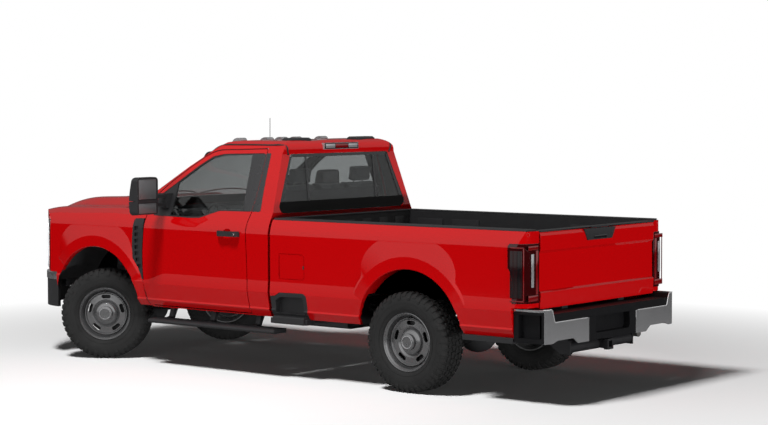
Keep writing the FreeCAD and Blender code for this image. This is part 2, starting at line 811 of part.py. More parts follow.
def tyre(x, y, side):
    """A tyre with its tread face and rounded shoulders, turned round the axle."""
    half = tyre_width / 2
    r = tyre_radius
    flank = [(rim_radius - 6, half * 0.80), (rim_radius + 20, half * 0.91), (rim_radius + 52, half * 0.98),
             (rim_radius + 90, half), (r - 42, half * 0.985), (r - 20, half * 0.92),
             (r - 6, half * 0.80), (r, half * 0.60)]
    section = flank + [(a, -b) for a, b in reversed(flank)]
    return turned_y(lines([(a, b + y) for a, b in section]), x, hub_z)


slot_count = 5
slot_circle = 152.0
slot_half = 17.0
slot_reach = 25.0
disc_depth = 60.0
disc_wall = 12.0


def rim(x, y, side):
    """A pressed steel wheel: barrel, ringed disc with five slots and a hub seat."""
    half = tyre_width / 2 * 0.80
    r = rim_radius - 6 - touch
    barrel = lines([(r, -half), (r, half), (r - 10, half), (r - 20, half - 14), (r - 26, half - 40),
                    (r - 36, half - disc_depth), (r - 36, -half + 30), (r - 10, -half)])
    face = [(r - 36, half - disc_depth), (r - 40, half - 52), (192, half - 40), (186, half - 40),
            (176, half - 54), (126, half - 50), (104, half - 64), (hub_radius + touch, half - 60)]
    under = [(a, b - disc_wall) for a, b in reversed(face)]
    wheel = fuse([turned_y(barrel, 0, 0), turned_y(lines(face + under), 0, 0)])
    slot = fuse([rod(V(-slot_reach, 0, slot_circle), V(-slot_reach, 200, slot_circle), slot_half),
                 rod(V(slot_reach, 0, slot_circle), V(slot_reach, 200, slot_circle), slot_half),
                 box(-slot_reach, slot_reach, 0, 200, slot_circle - slot_half,
                     slot_circle + slot_half)])
    holes = []
    for k in range(slot_count):
        hole = slot.copy()
        hole.rotate(V(0, 0, 0), V(0, 1, 0), 360.0 * k / slot_count)
        holes.append(hole)
    wheel = wheel.cut(holes)
    if side < 0:
        wheel = mirrored(wheel)
    wheel.translate(V(x, y, hub_z))
    return wheel


def turned_about_kingpin(shape, side):
    """Turn a left or right front piece to the steered rest pose."""
    shape.rotate(V(front_axle_x, side * kingpin_y, 0), V(0, 0, 1), steer_rest)
    return shape


front_wheel_y = kingpin_y + wheel_offset


def front_wheel(shape_of, side):
    piece = shape_of(front_axle_x, side * front_wheel_y, side)
    return turned_about_kingpin(piece, side)


def rear_wheel(shape_of, side):
    return shape_of(rear_axle_x, side * rear_track / 2, side)


hub_reach = tyre_width / 2 * 0.80 - 60


def hub_stub(x, y_in, y_wheel, side):
    """The hub that a wheel's disc sits on, with its cap."""
    face = y_wheel + side * (hub_reach - 14)
    seat = rod(V(x, y_in, hub_z), V(x, face - side * touch, hub_z), hub_radius + 20)
    nose = rod(V(x, face - side * 2, hub_z), V(x, face + side * 58, hub_z), hub_radius)
    return seat.fuse(nose)


def knuckle(side):
    """The left or right steering knuckle with its hub, straight ahead, then turned."""
    y = side * kingpin_y
    body = rod(V(front_axle_x, y, hub_z - 92), V(front_axle_x, y, hub_z + 92), 34)
    bore = rod(V(front_axle_x, y, hub_z - 100), V(front_axle_x, y, hub_z - 62), 14 + touch)
    bore_top = rod(V(front_axle_x, y, hub_z + 62), V(front_axle_x, y, hub_z + 100), 14 + touch)
    carrier = rod(V(front_axle_x, y + side * 10, hub_z), V(front_axle_x, y + side * 40, hub_z), 70)
    arm = box(front_axle_x - 150, front_axle_x, min(y - side * 4, y + side * 22),
              max(y - side * 4, y + side * 22), hub_z - 30, hub_z - 4)
    stub = hub_stub(front_axle_x, y + side * 30, side * front_wheel_y, side)
    shape = fuse([body, carrier, arm, stub]).cut([bore, bore_top])
    return turned_about_kingpin(shape, side)


def front_axle():
    """A live front axle: tubes, an offset differential and the forks that hold the knuckles."""
    tube = rod(V(front_axle_x, -kingpin_y + 60, hub_z), V(front_axle_x, kingpin_y - 60, hub_z), 46)
    ball = Part.makeSphere(150, V(front_axle_x, 230, hub_z))
    ball = ball.common(box(front_axle_x - 120, front_axle_x + 150, 90, 370, 250, 560))
    parts = [tube, ball]
    for side in (-1, 1):
        y = side * kingpin_y
        parts.append(box(front_axle_x - 34, front_axle_x + 34, min(y - side * 100, y - side * 56),
                         max(y - side * 100, y - side * 56), hub_z - 130, hub_z + 130))
        for low, high, pin0, pin1 in ((-130, -96, -98, -64), (96, 130, 64, 98)):
            plate = box(front_axle_x - 34, front_axle_x + 34, min(y - side * 100, y + side * 26),
                        max(y - side * 100, y + side * 26), hub_z + low, hub_z + high)
            pin = rod(V(front_axle_x, y, hub_z + pin0), V(front_axle_x, y, hub_z + pin1), 14)
            parts += [plate, pin]
    return fuse(parts)


def rear_axle():
    tube = rod(V(rear_axle_x, -rear_track / 2 + 60, hub_z), V(rear_axle_x, rear_track / 2 - 60, hub_z), 50)
    ball = Part.makeSphere(172, V(rear_axle_x, 0, hub_z))
    ball = ball.common(box(rear_axle_x - 140, rear_axle_x + 165, -150, 150, 200, 600))
    parts = [tube, ball]
    for side in (-1, 1):
        parts.append(hub_stub(rear_axle_x, side * (rear_track / 2 - 120), side * rear_track / 2, side))
    return fuse(parts)


# Ladder frame

def rail_path():
    """The rail's underside and top seen from the side."""
    h = rail_height
    low = [(frame_rear_x, 560), (rear_axle_x - 420, 560), (rear_axle_x - 180, 590),
           (rear_axle_x + 180, 590), (rear_axle_x + 560, 500), (1430, 480), (1600, 560),
           (frame_front_x, 560)]
    top = [(x, z + h) for x, z in reversed(low)]
    return lines(low + top)


frame_cross = ((-2560.0, 600, 660), (-2140.0, 600, 660), (-1060.0, 600, 650), (-420.0, 560, 620),
               (60.0, 590, 640), (640.0, 472, 510), (2560.0, 600, 660))


def ladder_frame():
    parts = []
    for side in (-1, 1):
        y0 = side * rail_outer
        y1 = side * (rail_outer - rail_width)
        rail = prism_y(rail_path(), min(y0, y1), max(y0, y1))
        inner = prism_y(grown(rail_path(), -rail_plate), min(y1 - side * 5, y0 - side * rail_plate),
                        max(y1 - side * 5, y0 - side * rail_plate))
        parts.append(rail.cut(inner))
    for x, low, high in frame_cross:
        parts.append(box(x - 40, x + 40, -rail_outer + 6, rail_outer - 6, low, high))
    # mounts below the cab floor and under the bed floor
    for x in (-90.0, 1250.0):
        for side in (-1, 1):
            z = rail_level(x) + 60
            arm = box(x - 35, x + 35, min(side * 445, side * 640), max(side * 445, side * 640), z, z + 50)
            post = rod(V(x, side * 600, z + 40), V(x, side * 600, floor_top - floor_wall), 34)
            parts += [arm, post]
    for x in (-420.0, -1060.0, -2140.0, -2560.0):
        for side in (-1, 1):
            z = rail_level(x) + rail_height
            y = side * (rail_outer - rail_width / 2)
            parts.append(box(x - 35, x + 35, y - 35, y + 35, z - 20, bed_floor_z - bed_floor_wall))
    return fuse(parts)


def rail_level(x):
    """Height of the rail's underside at a station."""
    low = [(frame_rear_x, 560), (rear_axle_x - 420, 560), (rear_axle_x - 180, 590),
           (rear_axle_x + 180, 590), (rear_axle_x + 560, 500), (1430, 480), (1600, 560),
           (frame_front_x, 560)]
    for (x0, z0), (x1, z1) in zip(low, low[1:]):
        if x0 <= x <= x1:
            return z0 + (z1 - z0) * (x - x0) / (x1 - x0)
    return low[-1][1]


def suspension():
    """Coil springs and arms in front, leaf packs and dampers behind."""
    parts = []
    for side in (-1, 1):
        y = side * 535
        coil = rod(V(front_axle_x + 10, y, hub_z + 46.5), V(front_axle_x + 10, y, 790), 62)
        cap = box(front_axle_x - 60, front_axle_x + 80, min(side * (rail_outer + touch), side * 600),
                  max(side * (rail_outer + touch), side * 600), 790, 812)
        seat = box(front_axle_x - 60, front_axle_x + 70, min(side * 480, side * 596),
                   max(side * 480, side * 596), hub_z + 30, hub_z + 47)
        seat = seat.cut(rod(V(front_axle_x, -700, hub_z), V(front_axle_x, 700, hub_z), 46 + touch))
        hanger = box(front_axle_x - 50, front_axle_x + 50, min(side * (rail_outer + touch), side * 470),
                     max(side * (rail_outer + touch), side * 470), 600, 800)
        parts.append(fuse([coil, cap, seat, hanger]))
        leaf = []
        y = side * 545
        for k in range(4):
            span = 700 - 110 * k
            z = hub_z + 130 - 13 * k
            pts = [(rear_axle_x - span, z + 60 * (span / 700) ** 2 + 13),
                   (rear_axle_x, z + 13), (rear_axle_x + span, z + 60 * (span / 700) ** 2 + 13)]
            low = [(a, b - 13) for a, b in reversed(pts)]
            leaf.append(prism_y([pts, [pts[-1], low[0]], low, [low[-1], pts[0]]], y - 38, y + 38))
        block = box(rear_axle_x - 50, rear_axle_x + 50, y - 40, y + 40, hub_z + 30, hub_z + 92)
        block = block.cut(rod(V(rear_axle_x, -700, hub_z), V(rear_axle_x, 700, hub_z), 50 + touch))
        leaf.append(block)
        for end in (-1, 1):
            x = rear_axle_x + end * 690
            inner = side * (rail_outer + touch)
            leaf.append(box(x - 34, x + 34, min(inner, y), max(inner, y), hub_z + 175, hub_z + 235))
        parts.append(fuse(leaf))
    return Part.makeCompound(parts)


engine_rear_x = 1660.0


def engine_block():
    """One plain block with a mount to each frame rail."""
    block = box(engine_rear_x, engine_rear_x + 670, -330, 330, 600, 1190)
    inner = rail_outer - rail_width - touch
    parts = [block]
    for side in (-1, 1):
        parts.append(box(1950, 2050, min(side * 325, side * inner), max(side * 325, side * inner), 620, 690))
    return fuse(parts)


def driveline():
    """Gearbox, transfer case and the two shafts."""
    z = 600.0
    box_front = Part.makeCone(200, 90, 215, V(engine_rear_x - touch, 0, z + 40), V(-1, 0, -0.16))
    tail = rod(V(engine_rear_x - 205, 0, z), V(820, 0, z), 84)
    transfer = box(700, 880, -110, 250, 480, 685)
    rear_shaft = rod(V(705, 0, z - 15), V(rear_axle_x + 160, 0, hub_z + 20), 40)
    rear_shaft = rear_shaft.cut(rear_axle())
    front_shaft = rod(V(870, 200, 520), V(front_axle_x - 118, 230, hub_z + 20), 30)
    front_shaft = front_shaft.cut(front_axle())
    whole = fuse([box_front, tail, transfer, rear_shaft, front_shaft])
    whole = whole.cut(engine_block()).cut(box(engine_rear_x - touch, 1800, -300, 300, 560, 900))
    return largest(whole)


def fuel_tank():
    tank = box(-870, -250, 470, 790, 440, 660)
    tank = tank.makeFillet(40, [e for e in tank.Edges if e.BoundBox.XLength > 600])
    strap = []
    for x in (-780.0, -400.0):
        strap.append(box(x, x + 50, rail_outer + touch, 480, 560, 600))
    x = (fuel_x0 + fuel_x1) / 2
    z = (fuel_z0 + fuel_z1) / 2
    cap = rod(V(x, fuel_pocket_y + touch, z), V(x, fuel_pocket_y + 28, z), 42)
    return Part.makeCompound([fuse([tank] + strap), cap])


def exhaust():
    """Pipe and silencer down the right side, with the tip behind the rear wheel."""
    y = -562.0
    z = 500.0
    muffler = rod(V(-250, y, z), V(-850, y, z), 95)
    hanger = box(-560, -520, y + 80, -rail_outer - touch, z + 10, z + 50)
    pipe = tube_path([V(1300, y, z), V(-260, y, z)], 34)
    behind = tube_path([V(-840, y, z), V(-960, y, z), V(-1100, -650, z), V(-1240, -650, 545),
                        V(-2130, -650, 545), V(-2300, -640, 440), V(-2790, -640, 420)], 34)
    return fuse([muffler, hanger, pipe, behind])


def tube_path(points, radius):
    """A bar along straight runs with a ball at each turn."""
    parts = [rod(a, b, radius) for a, b in zip(points, points[1:])]
    parts += [Part.makeSphere(radius, p) for p in points[1:-1]]
    return fuse(parts)


# Load bed

def bed_plan(inset):
    """The bed's outline from above, with round rear corners."""
    w = waist_half + 60
    rear = tailgate_outer_x + 14 + inset
    r = bed_corner_radius
    side = facet_half - inset
    k = r * (1 - math.cos(math.radians(45)))
    return [[(bed_front_x, w), (-2550, w)], [(-2550, w), (-2600, side)],
            [(-2600, side), (rear + r, side)],
            [(rear + r, side), (rear + k, side - k), (rear, side - r)],
            [(rear, side - r), (rear, -side + r)],
            [(rear, -side + r), (rear + k, -side + k), (rear + r, -side)],
            [(rear + r, -side), (-2600, -side)], [(-2600, -side), (-2550, -w)],
            [(-2550, -w), (bed_front_x, -w)], [(bed_front_x, -w), (bed_front_x, w)]]


def bed_mass(inset, top):
    solid = lower_body(inset, -2900, bed_front_x).common(box(-3000, 0, -1100, 1100, 0, top))
    return solid.common(prism_z(bed_plan(inset), 400, 1500))


def wheelhouse(grow):
    """The box over a rear wheel inside the bed, with a round top."""
    half = house_half_length + grow
    top = house_z + grow
    runs = [[(rear_axle_x - half, bed_floor_z - 60), (rear_axle_x + half, bed_floor_z - 60)],
            [(rear_axle_x + half, bed_floor_z - 60), (rear_axle_x + half - 30, 930),
             (rear_axle_x + half - 140, top - 30), (rear_axle_x + 150, top)],
            [(rear_axle_x + 150, top), (rear_axle_x - 150, top)],
            [(rear_axle_x - 150, top), (rear_axle_x - half + 140, top - 30),
             (rear_axle_x - half + 30, 930), (rear_axle_x - half, bed_floor_z - 60)]]
    return prism_y(runs, house_inner_half - grow, bed_inner_half + bed_wall)


def bed_box():
    """The bed's inside: ribbed floor, front wall, side walls and wheelhouses."""
    outer_half = bed_inner_half + bed_wall
    rear = tailgate_inner_x + 17
    outer = box(rear, bed_front_inner_x + bed_wall, -outer_half, outer_half,
                bed_floor_z - bed_floor_wall, rail_z - rail_cap)
    inner = box(rear - 10, bed_front_inner_x, -bed_inner_half, bed_inner_half,
                bed_floor_z, rail_z + 10)
    shell = outer.cut(inner)
    house = wheelhouse(0)
    houses = [house, mirrored(house)]
    cavity = wheelhouse(-skin).common(box(-4000, 0, 0, 1100, 0, 2000))
    tunnel = box(rear_axle_x - house_half_length + 40, rear_axle_x + house_half_length - 40,
                 house_inner_half + skin, outer_half + 1, 600, 900)
    shell = fuse([shell] + houses)
    for piece in (cavity, mirrored(cavity), tunnel, mirrored(tunnel)):
        shell = shell.cut(piece)
    ribs = []
    count = 11
    for k in range(count):
        y = (k - (count - 1) / 2) * 112.0
        ribs.append(box(rear, bed_front_inner_x - 20, y - 24, y + 24, bed_floor_z - 6, bed_floor_z + 7))
    return fuse([shell] + ribs)


def bed_side():
    """The left outer bed side, hollow below the floor, with its arch and flare."""
    outer_half = bed_inner_half + bed_wall + touch
    slab = bed_mass(0, rail_z - rail_cap)
    slab = slab.common(box(-3000, 0, outer_half, 1100, 0, 2000))
    corner = bed_mass(0, rail_z - rail_cap).common(
        box(-3000, tailgate_inner_x + 17, tailgate_half + seam, outer_half, 560, 2000))
    ring = flare(rear_arch_x, rear_arch_z, rear_arch_radius)
    ring = ring.common(box(-2440, -900, 900, 1100, sill_z, flare_top_z))
    slab = fuse([slab, corner, ring])
    hollow = lower_body(28, -3000, 0, sill_z - 60).common(
        box(-2640, bed_front_x - 24, 700, 1100, 400, bed_floor_z - bed_floor_wall))
    arch = Part.makeCylinder(rear_arch_radius, 500, V(rear_arch_x, 700, rear_arch_z), V(0, 1, 0))
    slab = slab.cut(hollow).cut(arch)
    slab = slab.cut(tail_lamp_block(touch))
    # step pocket ahead of the wheel
    slab = slab.cut(prism_y(step_outline(0), 850, 1100))
    # the bumper's corner takes the place of the side's lower rear corner
    slab = slab.cut(box(-3000, bumper_front_edge + seam - 2, 600, 1100, 400, bumper_high + 8))
    slab = slab.cut(prism_y(fuel_outline(lid_seam), fuel_pocket_y, 1100))
    slab = fuse([slab, fuel_pin()])
    pin = rod(V(tailgate_pin_x, tailgate_half - 30, tailgate_pin_z),
              V(tailgate_pin_x, tailgate_half + seam + 20, tailgate_pin_z), tailgate_pin_radius)
    return fuse([slab, pin])


fuel_x0 = -578.0
fuel_x1 = -310.0
fuel_z0 = 848.0
fuel_z1 = 1053.0
fuel_pocket_y = 930.0
fuel_lid_wall = 5.0
fuel_hinge_x = fuel_x1
fuel_hinge_y = waist_half - 3
fuel_barrel_radius = 3.0
fuel_pin_radius = 1.4


def fuel_outline(gap):
    """The fuel door's outline with rounded rear corners, as (x, z)."""
    x0 = fuel_x0 - gap
    x1 = fuel_x1 + gap + (fuel_barrel_radius + 1 if gap > 0 else -fuel_barrel_radius)
    z0 = fuel_z0 - gap
    z1 = fuel_z1 + gap
    r = 26.0
    k = r * 0.293
    return [[(x0 + r, z0), (x1, z0)], [(x1, z0), (x1, z1)], [(x1, z1), (x0 + r, z1)],
            [(x0 + r, z1), (x0 + k, z1 - k), (x0, z1 - r)], [(x0, z1 - r), (x0, z0 + r)],
            [(x0, z0 + r), (x0 + k, z0 + k), (x0 + r, z0)]]


def fuel_pin():
    return rod(V(fuel_hinge_x, fuel_hinge_y, fuel_z0 - lid_seam - 5),
               V(fuel_hinge_x, fuel_hinge_y, fuel_z1 + lid_seam + 5), fuel_pin_radius)


def fuel_door():
    """The fuel door: a thin plate in the bed side's surface with a hinge barrel."""
    plate = prism_y(fuel_outline(0), 900, 1100)
    plate = plate.common(bed_mass(0, 1300)).cut(bed_mass(fuel_lid_wall, 1300))
    barrel = rod(V(fuel_hinge_x, fuel_hinge_y, fuel_z0), V(fuel_hinge_x, fuel_hinge_y, fuel_z1),
                 fuel_barrel_radius)
    web = box(fuel_hinge_x - fuel_barrel_radius - 2, fuel_hinge_x, fuel_hinge_y - 2, fuel_hinge_y + 1.5,
              fuel_z0, fuel_z1)
    bore = rod(V(fuel_hinge_x, fuel_hinge_y, fuel_z0 - 1), V(fuel_hinge_x, fuel_hinge_y, fuel_z1 + 1),
               fuel_pin_radius + touch)
    return fuse([plate, barrel, web]).cut(bore)


step_x0 = -606.0
step_x1 = bed_front_x
step_low_z = 470.0
step_depth = 90.0


def step_outline(gap):
    """The bed step's frame seen from the side, with its raised rear part."""
    return grown([[(step_x0, 440), (step_x0, 690)], [(step_x0, 690), (step_x0 + 14, 722), (step_x0 + 52, 735)],
                  [(step_x0 + 52, 735), (-312, 731)], [(-312, 731), (-262, 703)],
                  [(-262, 703), (step_x1 + 20, 694)], [(step_x1 + 20, 694), (step_x1 + 20, 440)],
                  [(step_x1 + 20, 440), (step_x0, 440)]], gap)


def bed_step():
    """The left step: a black frame in the bed side with a deep tread pocket."""
    frame = bed_mass(2, 800).cut(bed_mass(step_depth, 801)).fuse(
        box(step_x0 - 5, step_x1, 905, 999, step_low_z, sill_z + 1))
    frame = frame.common(prism_y(step_outline(-touch), 800, 1100))
    frame = frame.common(box(-700, step_x1 - 0.5, 800, 1100, step_low_z, 800))
    hole = [[(-566, 556), (-566, 672)], [(-566, 672), (-560, 690), (-545, 697)],
            [(-545, 697), (-318, 692)], [(-318, 692), (-258, 664)], [(-258, 664), (-250, 556)],
            [(-250, 556), (-566, 556)]]
    frame = frame.cut(prism_y(hole, facet_half - step_depth + 8, 1100))
    tread = box(-590, -250, 930, 1022, step_low_z, 535)
    tread = tread.makeFillet(16, [e for e in tread.Edges if e.BoundBox.XLength > 300
                                  and e.BoundBox.YMin > 1000])
    return fuse([frame, tread])


def lower_strip():
    """The left black strip below the bed side behind the wheel."""
    return box(bumper_front_edge + seam, rear_arch_x - rear_arch_radius, 900, 978, 470,
               sill_z - touch)

lamp_x = -2632.0
lamp_z0 = 782.0
lamp_z1 = 1238.0
lamp_depth = 62.0


def lamp_outline(gap):
    """The tail lamp seen from the side, with the step in its front edge."""
    return grown(lines([(-3000, lamp_z0), (lamp_x - 38, lamp_z0), (lamp_x - 38, lamp_z0 + 218),
                        (lamp_x, lamp_z0 + 270), (lamp_x, lamp_z1 - 18), (lamp_x - 16, lamp_z1),
                        (-3000, lamp_z1)]), gap)


def tail_lamp_block(gap):
    region = prism_y(lamp_outline(gap), tailgate_half + seam - 0.01, 1100)
    shell = bed_mass(-12, rail_z).cut(bed_mass(lamp_depth, rail_z + 1))
    return region.common(shell)


def tail_lamp():
    region = prism_y(lamp_outline(0), tailgate_half + seam, 1100)
    shell = bed_mass(-5, rail_z).cut(bed_mass(lamp_depth - touch, rail_z + 1))
    return region.common(shell)


def bed_rail_caps():
    """Black caps along both bed rails and the front wall."""
    outer = bed_mass(10, rail_z).common(box(-3000, 0, -1100, 1100, rail_z - rail_cap, rail_z))
    inner = box(-3000, bed_front_inner_x - 6, -bed_inner_half - 4, bed_inner_half + 4, 1300, 1400)
    gate = box(-3000, tailgate_inner_x + 15, -tailgate_half - seam, tailgate_half + seam, 1300, 1400)
    return outer.cut(inner).cut(gate)


def tailgate():
    """The tailgate with its two creases and bore for the hinge pins."""
    x0 = tailgate_outer_x
    runs = lines([(tailgate_inner_x, tailgate_bottom), (tailgate_inner_x, tailgate_top - 12),
                  (x0 + 14, tailgate_top - 12), (x0 + 2, tailgate_top - 40), (x0 + 6, 1180),
                  (x0 + 20, 1160), (x0 + 16, 872), (x0, 858), (x0 + 10, tailgate_bottom)])
    gate = prism_y(runs, -tailgate_half, tailgate_half)
    bores = []
    for side in (-1, 1):
        bores.append(rod(V(tailgate_pin_x, side * (tailgate_half - 34), tailgate_pin_z),
                         V(tailgate_pin_x, side * (tailgate_half + 5), tailgate_pin_z),
                         tailgate_pin_radius + touch))
    return gate.cut(bores)


def tailgate_trim():
    """The black cap along the tailgate's top and the handle housing."""
    cap = box(tailgate_outer_x + 2, tailgate_inner_x, -tailgate_half, tailgate_half,
              tailgate_top - 12, tailgate_top)
    handle = box(tailgate_outer_x - 4, tailgate_outer_x + 24, -120, 120,
                 tailgate_top - 11, tailgate_top + 3)
    return fuse([cap, handle])


# Bumpers and hitch

bumper_top = 704.0
bumper_face_top = 640.0
bumper_face_bottom = 454.0
bumper_side_bottom = 480.0
bumper_half = 978.0
bumper_corner = 80.0
bumper_step_half = 818.0
bumper_step_run = 40.0
bumper_high = 740.0
bumper_strip = 16.0
bumper_front_edge = -2672.0
bumper_shell = 6.0
corner_x = -2924.0
corner_half = 868.0
plate_half = 345.0


def bumper_plan(inset):
    x0 = bumper_rear_x + inset
    side = bumper_half - inset
    r = bumper_corner
    k = r * 0.293
    return [[(bumper_front_edge, side), (x0 + r + 30, side)],
            [(x0 + r + 30, side), (x0 + k + 10, side - k), (x0, side - r - 20)],
            [(x0, side - r - 20), (x0, -side + r + 20)],
            [(x0, -side + r + 20), (x0 + k + 10, -side + k), (x0 + r + 30, -side)],
            [(x0 + r + 30, -side), (bumper_front_edge, -side)],
            [(bumper_front_edge, -side), (bumper_front_edge, side)]]


def bumper_step(gap, low):
    """What is taken off the bumper's top between its raised corners."""
    half = bumper_step_half - gap + (low - bumper_face_top) * bumper_step_run / 100
    return prism_x(lines([(-half, low), (half, low), (half + bumper_step_run, low + 100),
                          (half + bumper_step_run, low + 200), (-half - bumper_step_run, low + 200),
                          (-half - bumper_step_run, low + 100)]), -3000, -2600)


def bumper_notch(gap):
    """What is taken off the left half's lower edge."""
    return prism_x(lines([(500 - gap, 400), (1100, 400), (1100, bumper_side_bottom + gap),
                          (850, bumper_side_bottom + gap), (780, 498 + gap), (566, 498 + gap),
                          (500 - gap, bumper_face_bottom + gap)]), -3000, -2600)


def corner_region(gap, top):
    return box(corner_x - gap, -2600, corner_half - gap, 1100, 400, top + gap)


def rear_bumper():
    """Two bright steel halves with a strip over each corner and a gap for the plate."""
    shell = prism_z(bumper_plan(0), bumper_face_bottom, bumper_high)
    shell = shell.cut(prism_z(bumper_plan(bumper_shell), bumper_face_bottom - 1, bumper_high + 1))
    notch = bumper_notch(0)
    corner = corner_region(0, bumper_high - bumper_strip)
    tools = [bumper_step(0, bumper_face_top), notch, mirrored(notch), corner, mirrored(corner),
             box(-3000, -2600, -plate_half, plate_half, 400, 800)]
    return cut(shell, tools)


def bumper_pads():
    """Black top pad, corner steps and the centre recess, inside the bright halves."""
    body = prism_z(bumper_plan(bumper_shell + touch), bumper_face_bottom + 10, bumper_high - 2)
    notch = bumper_notch(6)
    body = body.cut([bumper_step(6, bumper_top), notch, mirrored(notch)])
    corner = prism_z(bumper_plan(1.5), bumper_side_bottom + 4, bumper_high - bumper_strip - touch)
    corner = corner.common(box(corner_x + touch, -2600, corner_half + touch, 1100, 400, 800))
    corner = corner.cut(bumper_step(6, bumper_top))
    centre = prism_z(bumper_plan(1.5), bumper_face_bottom + 4, bumper_face_top - touch)
    centre = centre.common(box(-3000, -2600, -plate_half + touch, plate_half - touch, 400, 800))
    body = fuse([body, corner, mirrored(corner), centre])
    body = body.cut(box(frame_rear_x - 6, -2600, -860, 860, 400, 800))
    body = body.cut(box(-2850, -2600, -860, 860, 400, bumper_face_top + 20))
    step = prism_x([[(874, 520), (874, 690)], [(874, 690), (890, 702)], [(890, 702), (1000, 702)],
                    [(1000, 702), (1000, 520)], [(1000, 520), (874, 520)]], -2910, -2715)
    step = step.cut(box(-2880, -2600, 800, 930, 400, 800))
    recess = prism_x([[(-250, 640), (-250, 540), (-240, 516), (-214, 509)], [(-214, 509), (214, 509)],
                      [(214, 509), (240, 516), (250, 540), (250, 640)], [(250, 640), (-250, 640)]],
                     -3000, -2886)
    parts = [body.cut([recess, step, mirrored(step)])]
    for side in (-1, 1):
        y0 = side * (rail_outer - rail_width)
        y1 = side * rail_outer
        parts.append(box(-2860, frame_rear_x - touch, min(y0, y1), max(y0, y1), 570, 662))
    return fuse(parts)


def hitch_receiver():
    """Receiver tube on a cross tube with side plates to the frame rails."""
    z = 398.0
    cross = rod(V(-2800, -rail_outer, z), V(-2800, rail_outer, z), 42)
    tube = box(-2915, -2560, -34, 34, z - 34, z + 34)
    collar = box(-2921, -2885, -42, 42, z - 42, z + 42)
    parts = [cross, tube, collar]
    for side in (-1, 1):
        y0 = side * (rail_outer + touch)
        y1 = side * (rail_outer + 12)
        plate = prism_y(lines([(-2740, 655), (-2450, 690), (-2560, 480), (-2750, 350), (-2845, 350),
                               (-2845, 480)]), min(y0, y1), max(y0, y1))
        parts += [plate, rod(V(-2800, side * 400, z), V(-2800, y1, z), 42)]
    whole = fuse(parts)
    return whole.cut(box(-2930, -2590, -25.6, 25.6, z - 25.6, z + 25.6))


front_bumper_split = 690.0


def front_bumper_plan(inset):
    """The front bumper from above, its ends turned back."""
    half = [(2440, 985), (2520, 975), (2640, 925), (2790, 780), (2900, 560), (2938, 300)]
    half = [(x - inset, y - inset) for x, y in half]
    nose = [(bumper_front_x - inset, 0)]
    back = [(x, -y) for x, y in reversed(half)]
    return [half + nose + back, [back[-1], half[0]]]


def wheel_sweep(side):
    """The room that a front wheel needs as it steers, a round well about its kingpin."""
    return Part.makeCylinder(478, 500, V(front_axle_x, side * kingpin_y, 400))


def front_bumper():
    """The bright upper part of the front bumper, with the brace behind it."""
    shell = prism_z(front_bumper_plan(0), front_bumper_split, 756)
    shell = shell.cut(prism_z(front_bumper_plan(30), 400, 800))
    shell = shell.cut([wheel_sweep(-1), wheel_sweep(1)])
    brace = box(frame_front_x + touch, 2760, -640, 640, 590, 700)
    ties = []
    for side in (-1, 1):
        ties.append(box(2750, 2925, side * 400 - 40, side * 400 + 40, 650, 700))
    ties = [tie.common(prism_z(front_bumper_plan(4), 400, 800)) for tie in ties]
    return fuse([shell, brace] + ties)


def front_valance():
    """The dark lower part of the front bumper, with its intake."""
    top = front_bumper_split - touch
    shell = prism_z(front_bumper_plan(4), 440, top)
    shell = shell.cut(prism_z(front_bumper_plan(34), 400, 800))
    shell = shell.cut([wheel_sweep(-1), wheel_sweep(1)])
    intake = [box(2700, 3000, -420, 420, z, z + 44) for z in (500.0, 560.0)]
    shell = shell.cut(intake)
    room = box(2600, 3000, -445, 445, 650 - touch, 720)
    return shell.cut(room.cut(box(2600, 3000, -355, 355, 600, 800)))


lamp_inner = 640.0
grille_top = nose_z - 4.0
grille_bar_reach = 7.0


def grille():
    """The grille: a frame with wide cross bars and rows of openings between them."""
    zone = prism_x(lines([(-lamp_inner + 34, 775), (lamp_inner - 34, 775), (lamp_inner - 4, grille_top),
                          (-lamp_inner + 4, grille_top)]), 2600, 2950)
    face = front_mass(2).cut(front_mass(34)).common(zone)
    holes = []
    for z in (804.0, 872.0, 940.0, 1062.0, 1130.0):
        for k in range(6):
            y = -570.0 + k * 191.0
            holes.append(box(2600, 3000, y, y + 176, z, z + 48))
    bars = []
    for z in (1012.0, 1196.0):
        proud = front_mass(2).copy()
        proud.translate(V(grille_bar_reach, 0, 0))
        bars.append(proud.cut(front_mass(34)).common(zone).common(box(2600, 3000, -560, 560, z, z + 26)))
    return fuse([face.cut(holes)] + bars)


def headlamp():
    """The left headlamp, a block that follows the nose."""
    zone = prism_x(lines([(lamp_inner - 30, 775), (1000, 775), (1000, grille_top),
                          (lamp_inner, grille_top)]), 2500, 2950)
    zone = zone.common(prism_y(lines([(2576, 760), (2950, 760), (2950, 1250), (2512, 1250),
                                      (2538, 1160), (2568, 890)]), 0, 1000))
    return front_mass(2).cut(front_mass(70)).common(zone)


def radiator_support():
    """The carrier behind the lamps and grille, with the radiator in its middle."""
    panel = box(2560, 2600, -820, 820, 735, 1240)
    core = box(2480, 2640, -420, 420, 735, 1220)
    ties = box(2470, 2700, -440, 440, 730 + touch, 780)
    carry = []
    for side in (-1, 1):
        for y, inset in ((560, 34 + touch), (740, 70 + touch)):
            beam = box(2590, 2900, side * y - 20, side * y + 20, 800, 1160)
            carry.append(beam.common(front_mass(inset)))
    return fuse([panel, core, ties] + carry)


def wheel_liner():
    """The left front wheelhouse liner, a half tube under the fender."""
    r = front_arch_radius + 22
    outer = Part.makeCylinder(r + 6, 520, V(front_arch_x, 520, front_arch_z), V(0, 1, 0))
    inner = Part.makeCylinder(r, 530, V(front_arch_x, 515, front_arch_z), V(0, 1, 0))
    tube = outer.cut(inner).common(box(firewall_x + 30 + touch, 2434, 500, 1100, 620, 1300))
    tube = tube.common(front_mass(skin + touch))
    return largest(tube)


# Running boards

